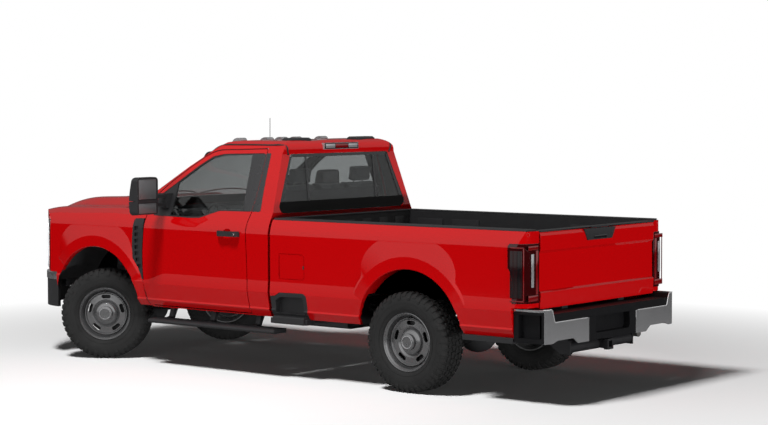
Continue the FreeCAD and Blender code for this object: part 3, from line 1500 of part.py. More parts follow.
def running_board():
    """The left running board with its two brackets to the rocker."""
    z0 = 372.0
    outer = waist_half + 26
    runs = [[(outer - 165, z0 + 6), (outer - 30, z0 + 6)],
            [(outer - 30, z0 + 6), (outer - 6, z0 + 10), (outer, z0 + 22)],
            [(outer, z0 + 22), (outer - 10, z0 + 38), (outer - 40, z0 + 44)],
            [(outer - 40, z0 + 44), (outer - 165, z0 + 44)],
            [(outer - 165, z0 + 44), (outer - 165, z0 + 6)]]
    board = prism_x(runs, -262, 1222)
    arms = []
    for x in (30.0, 560.0, 1060.0):
        arm = prism_x(lines([(outer - 160, z0 + 10), (outer - 60, z0 + 10), (outer - 60, z0 + 30),
                             (outer - 150, z0 + 60), (850, sill_z), (800, sill_z)]), x, x + 50)
        arms.append(arm)
    return fuse([board] + arms)


# Inside the cab

def steering_rim(centre, axis):
    """A six-sided ring round an axis."""
    points = []
    for k in range(6):
        angle = math.pi / 3 * k
        points.append(V(183 + 15 * math.cos(angle), 0, 15 * math.sin(angle)))
    face = Part.Face(Part.makePolygon(points + points[:1]))
    ring = face.revolve(V(0, 0, 0), V(0, 0, 1), 360)
    ring.Placement = FreeCAD.Placement(centre, FreeCAD.Rotation(V(0, 0, 1), axis))
    return ring


def dashboard():
    """The dash, with the steering column and wheel on the left."""
    runs = [[(firewall_x - touch, floor_top + 250), (1180, floor_top + 300)],
            [(1180, floor_top + 300), (1010, 1080), (985, 1220), (1040, 1300), (1180, 1340)],
            [(1180, 1340), (firewall_x - touch, 1350)],
            [(firewall_x - touch, 1350), (firewall_x - touch, floor_top + 250)]]
    body = prism_y(runs, -860, 860).common(lower_body(wall + touch, 0, firewall_x))
    centre = V(905, 400, 1235)
    lean = V(-1, 0, 0.42)
    lean.normalize()
    ring = steering_rim(centre, lean)
    hub = rod(centre - lean * 34, centre + lean * 12, 62)
    column = rod(centre - lean * 170, centre - lean * 30, 34)
    across = rod(centre + V(0, -178, 0) - lean * 4, centre + V(0, 178, 0) - lean * 4, 13)
    down_axis = V(0, 1, 0).cross(lean)
    down = rod(centre - lean * 4, centre - lean * 4 + down_axis * 178, 12)
    return fuse([body, ring, hub, column, across, down])


def seat_bench():
    """The bench seat on its base, with two head restraints."""
    base = box(120, 560, -640, 640, floor_top + touch, floor_top + 200)
    cushion = box(90, 620, -690, 690, floor_top + 200, floor_top + 350)
    back = prism_y(lines([(-10, floor_top + 330), (170, floor_top + 330), (60, 1565), (-72, 1565)]),
                   -690, 690)
    parts = [base, cushion, back]
    for side in (-1, 1):
        y = side * 405
        parts.append(rod(V(-12, y - 60, 1550), V(-16, y - 60, 1610), 7))
        parts.append(rod(V(-12, y + 60, 1550), V(-16, y + 60, 1610), 7))
        head = box(-66, 40, y - 140, y + 140, 1600, 1750)
        parts.append(head.makeFillet(34, head.Edges))
    return fuse(parts)


# Roof

def roof_lamps():
    lamps = []
    for y in (-545.0, -190.0, 0.0, 190.0, 545.0):
        body = prism_y([[(508, 1940), (600, 1940)],
                        [(600, 1940), (592, 1985), (560, 2001), (530, 2003), (508, 1985)],
                        [(508, 1985), (508, 1940)]], y - 44, y + 44)
        lamps.append(body.cut(upper_body(-touch)))
    stop = box(cab_back_x + 30, cab_back_x + 62, -232, 232, 1905, 1962)
    stop = stop.cut(upper_body(-touch))
    return Part.makeCompound(lamps + [stop])


def roof_trim():
    """Two low pads on the roof's rear corners and the antenna."""
    parts = []
    for side in (-1, 1):
        pad = box(-62, 42, side * 434 - 132, side * 434 + 132, 1960, 2008)
        pad = pad.makeChamfer(14, [e for e in pad.Edges if e.BoundBox.ZMin > 2007])
        parts.append(pad.cut(upper_body(-touch)))
    mast = rod(V(1510, -905, 1340), V(1500, -900, 2162), 3)
    foot = rod(V(1510, -905, 1340), V(1510, -905, 1372), 16)
    parts.append(fuse([mast, foot]).cut(front_mass(-touch)))
    return Part.makeCompound(parts)


def main():
    os.makedirs("parts", exist_ok=True)
    save("ladder_frame", ladder_frame())
    save("cab_shell", cab_shell())
    save("fixed_glass", fixed_glass())
    save("roof_lamps", roof_lamps())
    save("roof_trim", roof_trim())
    save("cowl", cowl())
    save("hood", hood())
    pairs = (("fender", fender), ("door", door), ("door_trim", door_trim),
             ("door_glass", door_glass), ("mirror", mirror), ("bed_side", bed_side))
    for name, make in pairs:
        left = make()
        save(name + "_left", left)
        save(name + "_right", mirrored(left))
    for name, make in (("headlamps", headlamp), ("wheel_liners", wheel_liner),
                       ("running_boards", running_board), ("tail_lamps", tail_lamp),
                       ("bed_steps", bed_step), ("lower_strips", lower_strip),
                       ("fender_vents", fender_vent)):
        left = make()
        save(name, Part.makeCompound([left, mirrored(left)]))
    for name, make in (("grille", grille), ("radiator_support", radiator_support),
                       ("front_bumper", front_bumper), ("front_valance", front_valance),
                       ("bed_box", bed_box),
                       ("bed_rail_caps", bed_rail_caps), ("tailgate", tailgate),
                       ("tailgate_trim", tailgate_trim), ("rear_bumper", rear_bumper),
                       ("fuel_door", fuel_door),
                       ("bumper_pads", bumper_pads), ("hitch_receiver", hitch_receiver),
                       ("front_axle", front_axle), ("rear_axle", rear_axle),
                       ("suspension", suspension), ("engine_block", engine_block),
                       ("driveline", driveline), ("fuel_tank", fuel_tank), ("exhaust", exhaust),
                       ("dashboard", dashboard), ("seat_bench", seat_bench)):
        save(name, make())
    for side, name in ((1, "left"), (-1, "right")):
        save("knuckle_" + name, knuckle(side))
        save("rim_front_" + name, front_wheel(rim, side))
        save("tyre_front_" + name, front_wheel(tyre, side))
        save("rim_rear_" + name, rear_wheel(rim, side))
        save("tyre_rear_" + name, rear_wheel(tyre, side))


main()
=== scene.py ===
import bpy
import bmesh
import json
from math import atan2, cos, pi, radians, sin, sqrt
from mathutils import Matrix, Vector
from mathutils.bvhtree import BVHTree
from mathutils.kdtree import KDTree

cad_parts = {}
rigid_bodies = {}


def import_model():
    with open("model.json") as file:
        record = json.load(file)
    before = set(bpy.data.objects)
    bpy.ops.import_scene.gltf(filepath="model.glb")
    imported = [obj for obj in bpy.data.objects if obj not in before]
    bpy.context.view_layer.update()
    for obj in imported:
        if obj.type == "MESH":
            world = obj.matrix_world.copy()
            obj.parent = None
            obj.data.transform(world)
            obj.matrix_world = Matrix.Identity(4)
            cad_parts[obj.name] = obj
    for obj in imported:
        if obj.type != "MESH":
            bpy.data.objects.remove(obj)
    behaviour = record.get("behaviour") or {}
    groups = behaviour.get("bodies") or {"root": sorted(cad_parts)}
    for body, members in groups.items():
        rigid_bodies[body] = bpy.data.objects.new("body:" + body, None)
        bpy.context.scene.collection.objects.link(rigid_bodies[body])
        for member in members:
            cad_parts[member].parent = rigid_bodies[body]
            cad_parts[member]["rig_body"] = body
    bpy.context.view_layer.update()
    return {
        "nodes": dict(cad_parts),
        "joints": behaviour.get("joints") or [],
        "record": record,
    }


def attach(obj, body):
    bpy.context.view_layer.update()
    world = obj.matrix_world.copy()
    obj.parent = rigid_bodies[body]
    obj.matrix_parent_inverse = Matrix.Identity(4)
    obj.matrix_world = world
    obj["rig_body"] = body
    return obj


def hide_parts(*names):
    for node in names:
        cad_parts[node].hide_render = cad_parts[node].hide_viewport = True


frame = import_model()

# The pickup truck's finish. Metres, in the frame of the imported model:
# X forward, Y to the left, Z up, the ground at zero.

# Camera
image_width = 768
sensor_width = 36.0
focal_pixels = 1998.5
camera_place = (-11.3762, 13.3983, 2.3115)
camera_yaw = radians(38.748)
camera_pitch = radians(3.158)
camera_roll = radians(-0.107)

# Tyres, from the wheel's middle
tyre_radius = 0.405
tyre_half_width = 0.136
rim_radius = 0.240
bead_sink = 0.004
tread_depth = 0.012
tread_pitches = 46
block_root = 0.004
block_edge = 0.0012
round_steps = 96

# Rows of tread blocks: pitches to a block, the share of a pitch that it fills, its turn,
# and where the right and the left row start
tread_rows = {"centre": (1, 0.72, 0.32, (0.5, 0.0)), "middle": (1, 0.66, -0.35, (0.75, 0.25)),
              "long_lug": (2, 0.62, 0.0, (0.1, 0.1)), "short_lug": (2, 0.58, 0.0, (1.1, 1.1))}

# Wheel disc, from the wheel's middle
rim_half = 0.1088
disc_inset = 0.050
hub_radius = 0.064
hub_steps = 64

# How near and how alike a face must be to keep the node's shading
shading_reach = 0.005
shading_turn = radians(14)

# Widths of rolled rims
sheet_rim = 0.002
vent_rim = 0.0015
moulded_rim = 0.003
mirror_rim = 0.005
rear_chrome_rim = 0.0028
front_chrome_rim = 0.004
wheel_rim = 0.0025

# The cab's upper side leans in, and its back wall leans forward
belt_z = 1.386
belt_half = 0.935
side_lean = 0.3664
back_glass_x = -0.176
back_glass_z = 1.366
back_lean = 0.104
cab_middle = Vector((0.55, 0, 1.2))
cab_floor_z = 0.9
cab_floor_half = 0.85
side_window = (0.62, 1.62)
side_window_foot = 1.37

# Black covers on the posts, and bands on the rear glass
cover_thickness = 0.0040
cover_sink = 0.002
band_thickness = 0.0022
band_proud = 0.0004
pane_foot_z = 1.472
pane_top_z = 1.846

# Seal over the door, along X
seal_start = 0.07
seal_step = 0.04
seal_points = 28
seal_inset = 0.021
seal_radius = 0.009

# Wheel arches and the flares over them
arch_middle = {"front": (1.915, 0.480), "rear": (-1.662, 0.470)}
arch_radius = {"front": 0.537, "rear": 0.521}
side_half = 1.0025
shoulder_z = 1.205
flare_steps = 64
flare_inner = 0.0005
flare_return = 0.040
flare_roll = 0.006
flare_lip = 0.100
flare_proud = 0.014
flare_reach = 0.476
flare_rise = 0.500
flare_height = 0.300
flare_least_slope = 0.022
flare_over = 0.0004
flare_ends = {"front": (34, 20), "rear": (20, 18)}
flare_fade = 24
flare_sink = 0.003
flare_creases = {2, 3, 4}

# Tail lamps and the high lamp
tail_side_y = 1.0075
tail_back_x = -2.8075
tail_ribs = 9
tail_rib_pitch = 0.0125
tail_rib_half = 0.0035
stop_lamp_x = -0.1525

# Headlamps: where the bowls are
bowl_y = 0.735
bowl_heights = (1.135, 1.010, 0.885)

# Bed walls: where the pressed ribs start and end along X
bed_ribs = ((-0.62, -0.34), (-1.02, -0.72), (-2.20, -1.98), (-2.62, -2.30))
bed_front_ribs = 7
bed_front_pitch = 0.23

# Seats
seat_y = 0.430
middle_seat_width = 0.80
seat_lean = radians(-8.5)
seat_tip = radians(-3)
swell_frames = 20
swell_pressure = 4.0

# Steps, gate and rear bumper
step_ribs = 28
step_pitch = 0.0515
gate_back_x = -2.810
bead_start_y = 0.372
bead_step = 0.026
bead_points = 23

# Stage: the floor, the sky and the low lamps
floor_size = 120.0
floor_to_eye = (0.95, 0.95, 0.95)
floor_near_in_gloss = (0.24, 0.24, 0.24)
floor_far_in_gloss = (0.035, 0.035, 0.035)
gloss_fade = (4.0, 9.0)
eye_fade = (3.2, 6.6)
sky_light = 0.015
sky_in_gloss = (0.16, 1.0)
sky_foot = 0.05
sky_body = 0.9
sky_edge = 0.03
sky_bright_side = (-0.63, 0.78, 0.0)
low_away = 24.0
low_z = 0.22
low_height = 0.4

nodes = frame["nodes"]
slot_of = {part["node"]: part["material_slot"] for part in frame["record"]["subparts"]}
body_of = {name: nodes[name]["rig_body"] for name in nodes}
SIDES = (("left", 1), ("right", -1))
WHEELS = [(end, side, "%s_%s" % (end, side[0])) for end in ("front", "rear") for side in SIDES]


# Small helpers for work in edit mode

def only(piece):
    """Make one piece the only selected one."""
    for other in bpy.context.selected_objects:
        other.select_set(False)
    piece.select_set(True)
    bpy.context.view_layer.objects.active = piece


def into_edit(piece, kind):
    only(piece)
    bpy.ops.object.mode_set(mode="EDIT")
    bpy.ops.mesh.select_mode(type=kind)


def pick_all():
    bpy.ops.mesh.select_all(action="SELECT")


def extrude(step):
    bpy.ops.mesh.extrude_region_move(TRANSFORM_OT_translate={"value": Vector(step)})


def out_of_edit():
    bpy.ops.object.mode_set(mode="OBJECT")


def settle(piece):
    """Put the piece's place into its mesh."""
    only(piece)
    bpy.ops.object.transform_apply(location=True, rotation=True, scale=True)


def add_modifier(piece, kind, **settings):
    only(piece)
    modifier = piece.modifiers.new(kind.lower(), kind)
    for key, value in settings.items():
        setattr(modifier, key, value)
    bpy.ops.object.modifier_apply(modifier=modifier.name)


def smooth(piece, degrees=35.0):
    only(piece)
    bpy.ops.object.shade_smooth_by_angle(angle=radians(degrees))


def bevelled(piece, width, segments, degrees):
    add_modifier(piece, "BEVEL", width=width, segments=segments, limit_method="ANGLE",
                 angle_limit=radians(degrees))


def rounded(piece, width, segments=2, degrees=35.0):
    """Round the piece's edges and shade it smooth."""
    bevelled(piece, width, segments, degrees)
    smooth(piece, degrees)


def new_object(name, data):
    piece = bpy.data.objects.new(name, data)
    bpy.context.scene.collection.objects.link(piece)
    return piece


def named(name, piece=None):
    """Name a piece and its mesh; the active one if none is given."""
    piece = piece or bpy.context.active_object
    piece.name = name
    piece.data.name = name
    return piece


def block(name, low, high, round_edge=0.0):
    """A rounded block between two corners."""
    low = Vector(low)
    high = Vector(high)
    bpy.ops.mesh.primitive_cube_add(size=1.0, location=(low + high) / 2)
    piece = named(name)
    piece.scale = high - low
    settle(piece)
    if round_edge:
        rounded(piece, round_edge)
    return piece


def draw_outline(name, points, closed=True):
    """Draw a line of points; stays in edit mode."""
    points = [Vector(p) for p in points]
    bpy.ops.mesh.primitive_plane_add(size=0.01, location=points[0])
    piece = named(name)
    settle(piece)
    into_edit(piece, "VERT")
    pick_all()
    bpy.ops.mesh.merge(type="CENTER")
    for before, after in zip(points, points[1:]):
        extrude(after - before)
    pick_all()
    if closed:
        bpy.ops.mesh.edge_face_add()
    return piece


def outward():
    pick_all()
    bpy.ops.mesh.normals_make_consistent(inside=False)


def spun(name, profile, steps, angle, merge):
    """Spin (radius, y) points round the Y axis; stays in edit mode."""
    piece = draw_outline(name, [(r, y, 0) for r, y in profile])
    bpy.ops.mesh.spin(steps=steps, angle=angle, center=(0, 0, 0), axis=(0, 1, 0))
    pick_all()
    bpy.ops.mesh.remove_doubles(threshold=merge)
    return piece


def turned(name, profile, steps=round_steps, degrees=30.0):
    """A closed profile of (radius, y) points spun all the way round."""
    piece = spun(name, profile, steps, 2 * pi, 1e-5)
    mesh = bmesh.from_edit_mesh(piece.data)
    inner = [f for f in mesh.faces if len(f.verts) > 4]
    bmesh.ops.delete(mesh, geom=inner, context="FACES_ONLY")
    bmesh.update_edit_mesh(piece.data)
    outward()
    out_of_edit()
    smooth(piece, degrees)
    return piece


def pushed(name, outline, depth, round_edge=0.0):
    """A flat outline pushed out into a solid."""
    piece = draw_outline(name, outline)
    extrude(depth)
    outward()
    out_of_edit()
    if round_edge:
        rounded(piece, round_edge)
    return piece


def copied(piece, name):
    other = piece.copy()
    other.data = piece.data.copy()
    bpy.context.scene.collection.objects.link(other)
    return named(name, other)


def moved(piece, matrix):
    """Move a piece's mesh; after a mirror its faces point out again."""
    piece.data.transform(matrix)
    if matrix.determinant() < 0:
        piece.data.flip_normals()
    return piece


def joined(name, pieces):
    only(pieces[0])
    for piece in pieces:
        piece.select_set(True)
    bpy.ops.object.join()
    return named(name)


mirror_y = Matrix.Scale(-1, 4, Vector((0, 1, 0)))


def coat(mesh, material):
    mesh.materials.clear()
    mesh.materials.append(material)


def dress(piece, body, material):
    """Give a piece its material and the body that it rides on."""
    coat(piece.data, material)
    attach(piece, body)


def set_on(piece, node, material, slot=None):
    """Dress a piece to ride with a node."""
    dress(piece, body_of[node], material)


def both_sides(piece, node, material, slot=None):
    """Dress a piece of the left side and its mirror image on the right."""
    left = piece.name
    right = moved(copied(piece, left + "_right"), mirror_y)
    set_on(named(left + "_left", piece), node.replace("%s", "left"), material, slot)
    set_on(right, node.replace("%s", "right"), material, slot)


# Shared shader groups

def new_group(name, inputs, output, kind):
    """A shader group with one output."""
    group = bpy.data.node_groups.new(name, "ShaderNodeTree")
    for label, value in inputs.items():
        sort = "NodeSocketColor" if isinstance(value, tuple) else "NodeSocketFloat"
        group.interface.new_socket(label, in_out="INPUT", socket_type=sort).default_value = value
    group.interface.new_socket(output, in_out="OUTPUT", socket_type="NodeSocket" + kind)
    enter = group.nodes.new("NodeGroupInput")
    leave = group.nodes.new("NodeGroupOutput")
    return group, enter, leave, add_node(group, "TexCoord")


def fill(node, values):
    """Set the inputs of a shader node by their names."""
    for label, value in values.items():
        node.inputs[label.replace("_", " ")].default_value = value
    return node


def add_node(tree, kind, operation=None, group=None, **values):
    node = tree.nodes.new("ShaderNode" + kind)
    if operation:
        node.operation = operation
    if group:
        node.node_tree = group
    return fill(node, values)


def link(source, way_out, target, way_in):
    """Join an output of one shader node to an input of another."""
    target.id_data.links.new(source.outputs[way_out], target.inputs[way_in])


def new_material(name):
    material = bpy.data.materials.new(name)
    material.use_nodes = True
    return material, material.node_tree, material.node_tree.nodes["Principled BSDF"]


def uneven_colour():
    """A colour that wanders a little lighter and darker over the surface."""
    group, enter, leave, place = new_group(
        "uneven_colour", {"Colour": (1, 1, 1, 1), "Scale": 3.0, "Amount": 0.05}, "Colour", "Color")
    noise = add_node(group, "TexNoise", Detail=4.0)
    spread = add_node(group, "Math", "MULTIPLY_ADD")
    spread.inputs[2].default_value = 1.0
    centred = add_node(group, "Math", "SUBTRACT")
    centred.inputs[1].default_value = 0.5
    scaled = add_node(group, "VectorMath", "SCALE")
    link(place, "Object", noise, "Vector")
    link(enter, "Scale", noise, "Scale")
    link(noise, "Fac", centred, 0)
    link(centred, 0, spread, 0)
    link(enter, "Amount", spread, 1)
    link(enter, "Colour", scaled, 0)
    link(spread, 0, scaled, "Scale")
    link(scaled, 0, leave, "Colour")
    return group


def uneven_gloss():
    """A roughness between two values, in soft patches."""
    group, enter, leave, place = new_group(
        "uneven_gloss", {"Scale": 6.0, "Low": 0.3, "High": 0.5}, "Roughness", "Float")
    noise = add_node(group, "TexNoise", Detail=3.0)
    span = add_node(group, "MapRange", From_Min=0.3, From_Max=0.7)
    link(place, "Object", noise, "Vector")
    link(enter, "Scale", noise, "Scale")
    link(noise, "Fac", span, "Value")
    link(enter, "Low", span, "To Min")
    link(enter, "High", span, "To Max")
    link(span, 0, leave, "Roughness")
    return group


def moulded_grain():
    """The pebbled grain of a moulded or sprayed surface, as a normal."""
    group, enter, leave, place = new_group(
        "moulded_grain", {"Scale": 300.0, "Height": 0.2}, "Normal", "Vector")
    cells = add_node(group, "TexVoronoi")
    cells.feature = "SMOOTH_F1"
    noise = add_node(group, "TexNoise", Detail=2.0)
    both = add_node(group, "Math", "ADD")
    bump = add_node(group, "Bump", Distance=0.001)
    link(place, "Object", cells, "Vector")
    link(place, "Object", noise, "Vector")
    link(enter, "Scale", cells, "Scale")
    link(enter, "Scale", noise, "Scale")
    link(cells, "Distance", both, 0)
    link(noise, "Fac", both, 1)
    link(both, 0, bump, "Height")
    link(enter, "Height", bump, "Strength")
    link(bump, "Normal", leave, "Normal")
    return group


COLOUR_GROUP = uneven_colour()
GLOSS_GROUP = uneven_gloss()
GRAIN_GROUP = moulded_grain()


def finish_of(name, colour, gloss, grain=None, patches=(3.0, 0.06), **shader_values):
    """A material with uneven colour and gloss, and a grain where it has one."""
    material, tree, shader = new_material(name)
    scale, amount = patches
    paint = add_node(tree, "Group", group=COLOUR_GROUP, Colour=(*colour, 1), Scale=scale, Amount=amount)
    sheen = add_node(tree, "Group", group=GLOSS_GROUP, Low=gloss[0], High=gloss[1])
    link(paint, 0, shader, "Base Color")
    link(sheen, 0, shader, "Roughness")
    if grain:
        pebbles = add_node(tree, "Group", group=GRAIN_GROUP, Scale=grain[0], Height=grain[1])
        link(pebbles, 0, shader, "Normal")
    fill(shader, shader_values)
    return material


def glass_finish(name, tint, shadow_tint):
    """Tinted glass with a lighter shadow."""
    material, tree, shader = new_material(name)
    fill(shader, {"Base Color": (*tint, 1), "Roughness": 0.0, "Transmission Weight": 1.0, "IOR": 1.45})
    clear = add_node(tree, "BsdfTransparent", Color=(*shadow_tint, 1))
    path = add_node(tree, "LightPath")
    either = add_node(tree, "MixShader")
    link(path, "Is Shadow Ray", either, 0)
    link(shader, 0, either, 1)
    link(clear, 0, either, 2)
    link(either, 0, tree.nodes["Material Output"], "Surface")
    return material


red_paint = finish_of("red_paint", (0.375, 0.0012, 0.0020), (0.40, 0.48), patches=(1.5, 0.03),
                      Coat_Weight=1.0, Coat_Roughness=0.02, Specular_IOR_Level=0.0)
black_trim = finish_of("black_trim", (0.016, 0.016, 0.017), (0.46, 0.6), grain=(700.0, 0.25))
bed_coating = finish_of("bed_coating", (0.017, 0.017, 0.018), (0.62, 0.8), grain=(320.0, 0.7))
arch_lining = finish_of("arch_lining", (0.050, 0.050, 0.052), (0.6, 0.8), grain=(500.0, 0.4))
gloss_black = finish_of("gloss_black", (0.006, 0.006, 0.007), (0.10, 0.16), Coat_Weight=0.5)
window_black = finish_of("window_black", (0.020, 0.020, 0.021), (0.22, 0.3), Coat_Weight=0.2)
step_pad = finish_of("step_pad", (0.004, 0.004, 0.0045), (0.5, 0.66), grain=(500.0, 0.3),
                     Specular_IOR_Level=0.2)
shade_black = finish_of("shade_black", (0.003, 0.003, 0.003), (0.3, 0.4), Specular_IOR_Level=0.1)
bright_plate = finish_of("bright_plate", (0.86, 0.86, 0.88), (0.10, 0.18), Metallic=0.9)
# Lighter, partly diffuse chrome for the bead on the rear bumper's top edge, which lights up as a painted
# highlight along that edge.
highlight_bead_chrome = finish_of("highlight_bead_chrome", (0.90, 0.90, 0.91), (0.16, 0.22), Metallic=0.8)
frame_coating = finish_of("frame_coating", (0.012, 0.012, 0.013), (0.4, 0.6), grain=(260.0, 0.15))
cast_paint = finish_of("cast_paint", (0.022, 0.022, 0.023), (0.5, 0.7), grain=(420.0, 0.35))
dull_steel = finish_of("dull_steel", (0.30, 0.29, 0.28), (0.3, 0.5), Metallic=0.9)
wheel_paint = finish_of("wheel_paint", (0.29, 0.29, 0.295), (0.20, 0.28), grain=(900.0, 0.04),
                        Metallic=0.9)
hub_paint = finish_of("hub_paint", (0.28, 0.28, 0.285), (0.22, 0.32), Metallic=0.9)
tyre_rubber = finish_of("tyre_rubber", (0.013, 0.013, 0.013), (0.6, 0.8), grain=(500.0, 0.25),
                        patches=(14.0, 0.25))
cabin_plastic = finish_of("cabin_plastic", (0.035, 0.035, 0.037), (0.55, 0.7), grain=(600.0, 0.3))
seat_cloth = finish_of("seat_cloth", (0.060, 0.060, 0.063), (0.8, 0.95), grain=(1100.0, 0.6),
                       Sheen_Weight=0.3)
window_glass = glass_finish("window_glass", (0.41, 0.425, 0.425), (0.42, 0.44, 0.44))
clear_lens = finish_of("clear_lens", (0.42, 0.42, 0.43), (0.06, 0.12), Metallic=0.6, Coat_Weight=1.0)
lamp_dark = finish_of("lamp_dark", (0.024, 0.0012, 0.0016), (0.06, 0.12), Coat_Weight=0.6)
lamp_red = finish_of("lamp_red", (0.13, 0.002, 0.003), (0.08, 0.14), Coat_Weight=1.0)
lamp_case = finish_of("lamp_case", (0.018, 0.018, 0.02), (0.06, 0.12), Coat_Weight=1.0)
lamp_bright = finish_of("lamp_bright", (0.82, 0.82, 0.82), (0.12, 0.2), Coat_Weight=1.0)
mirror_glass = finish_of("mirror_glass", (0.16, 0.165, 0.17), (0.30, 0.38), Metallic=0.6)

trim = (black_trim, "trim_black")

finish_groups = (
    (frame_coating, ("ladder_frame", "suspension", "hitch_receiver", "radiator_support")),
    (cast_paint, ("front_axle", "rear_axle", "engine_block", "driveline", "knuckle_left",
                  "knuckle_right")),
    (red_paint, ("cab_shell", "hood", "tailgate", "fuel_door", "fender_left", "fender_right",
                 "door_left", "door_right", "bed_side_left", "bed_side_right")),
    (black_trim, ("fuel_tank", "cowl", "roof_trim", "running_boards", "bed_rail_caps", "tailgate_trim",
                  "fender_vents", "bed_steps", "lower_strips", "front_valance", "door_trim_left",
                  "door_trim_right", "mirror_left", "mirror_right")),
    (window_glass, ("fixed_glass", "door_glass_left", "door_glass_right")),
    (bright_plate, ("front_bumper", "rear_bumper")),
    (wheel_paint, ["rim_" + place for _, _, place in WHEELS]),
    (tyre_rubber, ["tyre_" + place for _, _, place in WHEELS]),
)
node_finish = {node: material for material, group in finish_groups for node in group}
node_finish.update(
    exhaust=dull_steel, roof_lamps=clear_lens, headlamps=lamp_case, tail_lamps=lamp_dark,
    wheel_liners=arch_lining, grille=gloss_black, bed_box=bed_coating, bumper_pads=step_pad,
    dashboard=cabin_plastic, seat_bench=seat_cloth)
for node, material in node_finish.items():
    coat(nodes[node].data, material)


# Tyres

def wheel_matrix(end, side):
    """From the origin, outer face towards +Y, to a wheel's place on the truck."""
    label, sign = side
    joint = next(j for j in frame["joints"] if j["name"] == "wheel_%s_%s_spin" % (end, label))
    along = Vector(joint["axis"]).normalized()
    turn = atan2(-along.x, along.y)
    matrix = Matrix.Translation(joint["pos_m"]) @ Matrix.Rotation(turn, 4, "Z")
    if sign < 0:
        matrix = matrix @ mirror_y
    return matrix


def around(piece, count, first):
    """Turn a piece to its first place and repeat it round the Y axis."""
    moved(piece, Matrix.Rotation(first, 4, "Y"))
    guide = new_object("guide", None)
    guide.rotation_euler = (0, 2 * pi / count, 0)
    bpy.context.view_layer.update()
    add_modifier(piece, "ARRAY", count=count, use_relative_offset=False, use_object_offset=True,
                 offset_object=guide)
    bpy.data.objects.remove(guide)
    return piece


def tread_block(name, profile, sweep, twist):
    """One rubber block, spun through a small angle and twisted."""
    piece = spun(name, profile, 1, sweep, 1e-6)
    outward()
    out_of_edit()
    middle = sum((v.co for v in piece.data.vertices), Vector()) / len(piece.data.vertices)
    if twist:
        spoke = Vector((middle.x, 0, middle.z)).normalized()
        moved(piece, Matrix.Translation(middle) @ Matrix.Rotation(twist, 4, spoke)
              @ Matrix.Translation(-middle))
    bevelled(piece, block_edge, 1, 40)
    return piece


def tread_profiles(base, top):
    """The profiles of the left blocks, as (radius, y)."""
    root = base - block_root
    return {
        "centre": [(root, 0.006), (top, 0.008), (top, 0.038), (root, 0.040)],
        "middle": [(root, 0.050), (top - 0.0005, 0.052), (top - 0.001, 0.082), (root, 0.084)],
        "long_lug": [
            (root, 0.092), (top - 0.001, 0.094), (top - 0.003, 0.104), (top - 0.012, 0.118),
            (top - 0.044, 0.1355), (top - 0.064, 0.1355), (top - 0.064, 0.127), (base - 0.03, 0.115)],
        "short_lug": [
            (root, 0.094), (top - 0.002, 0.096), (top - 0.005, 0.106), (top - 0.014, 0.117),
            (top - 0.036, 0.131), (top - 0.040, 0.124), (base - 0.02, 0.112)],
    }


def tyre_piece():
    """A tyre at the origin: carcass, rows of blocks and side ribs."""
    half = tyre_half_width
    base = tyre_radius - tread_depth
    bead = rim_radius - bead_sink
    side_profile = [
        (bead, half * 0.80), (bead + 0.012, half * 0.865), (bead + 0.03, half * 0.925),
        (bead + 0.05, half * 0.965), (bead + 0.08, half * 0.985), (base - 0.05, half * 0.97),
        (base - 0.025, half * 0.93), (base - 0.006, half * 0.83), (base, half * 0.72)]
    across = [(r, -y) for r, y in side_profile] + [(base + 0.001, 0.0)] + side_profile[::-1]
    pieces = [turned("carcass", across, degrees=60)]
    pitch = 2 * pi / tread_pitches
    profiles = tread_profiles(base, tyre_radius)
    for sign in (-1, 1):
        for name, (pitches, share, turn, starts) in tread_rows.items():
            outline = [(r, sign * y) for r, y in profiles[name]]
            row = tread_block(name, outline, pitch * share, sign * turn)
            pieces.append(around(row, tread_pitches // pitches, pitch * starts[sign > 0]))
        for radius, width, edge in ((bead + 0.034, 0.0016, 0.1285), (base - 0.078, 0.002, 0.1335)):
            rib = [(radius - width * 2, edge - 0.004), (radius - width, edge + 0.0012),
                   (radius + width, edge + 0.0016), (radius + width * 2, edge - 0.003)]
            pieces.append(turned("rib", [(r, sign * y) for r, y in rib], degrees=60))
    return joined("tyre", pieces)


def make_tyres():
    pattern = tyre_piece()
    for end, side, place in WHEELS:
        name = "tyre_" + place
        piece = moved(copied(pattern, name + "_tread"), wheel_matrix(end, side))
        dress(piece, "wheel_" + place, tyre_rubber)
        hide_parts(name)
    bpy.data.objects.remove(pattern)


# Panels of the frame with rolled edges

def bare_copy(node, name):
    """A merged copy of a node of the frame, free of its body."""
    piece = copied(nodes[node], name)
    piece.parent = None
    for key in list(piece.keys()):
        del piece[key]
    into_edit(piece, "VERT")
    pick_all()
    bpy.ops.mesh.remove_doubles(threshold=2e-5)
    bpy.ops.mesh.dissolve_limited(angle_limit=radians(0.1))
    out_of_edit()
    return piece


def shading_of(node):
    """Where each corner of a node's mesh is, and the way that it is shaded."""
    mesh = nodes[node].data
    places = KDTree(len(mesh.loops))
    for corner in mesh.loops:
        places.insert(mesh.vertices[corner.vertex_index].co, corner.index)
    places.balance()
    return places, [Vector(corner.vector) for corner in mesh.corner_normals]


def shade_like(piece, shading):
    """Shade a piece as the node was where its surface still lies along it."""
    places, facing = shading
    mesh = piece.data
    wanted = [Vector(corner.vector) for corner in mesh.corner_normals]
    for face in mesh.polygons:
        for number in face.loop_indices:
            place = mesh.vertices[mesh.loops[number].vertex_index].co
            near = [facing[found[1]] for found in places.find_range(place, shading_reach)]
            best = max(near, key=face.normal.dot, default=None)
            if best and best.dot(face.normal) > cos(shading_turn):
                wanted[number] = best
    mesh.normals_split_custom_set(wanted)


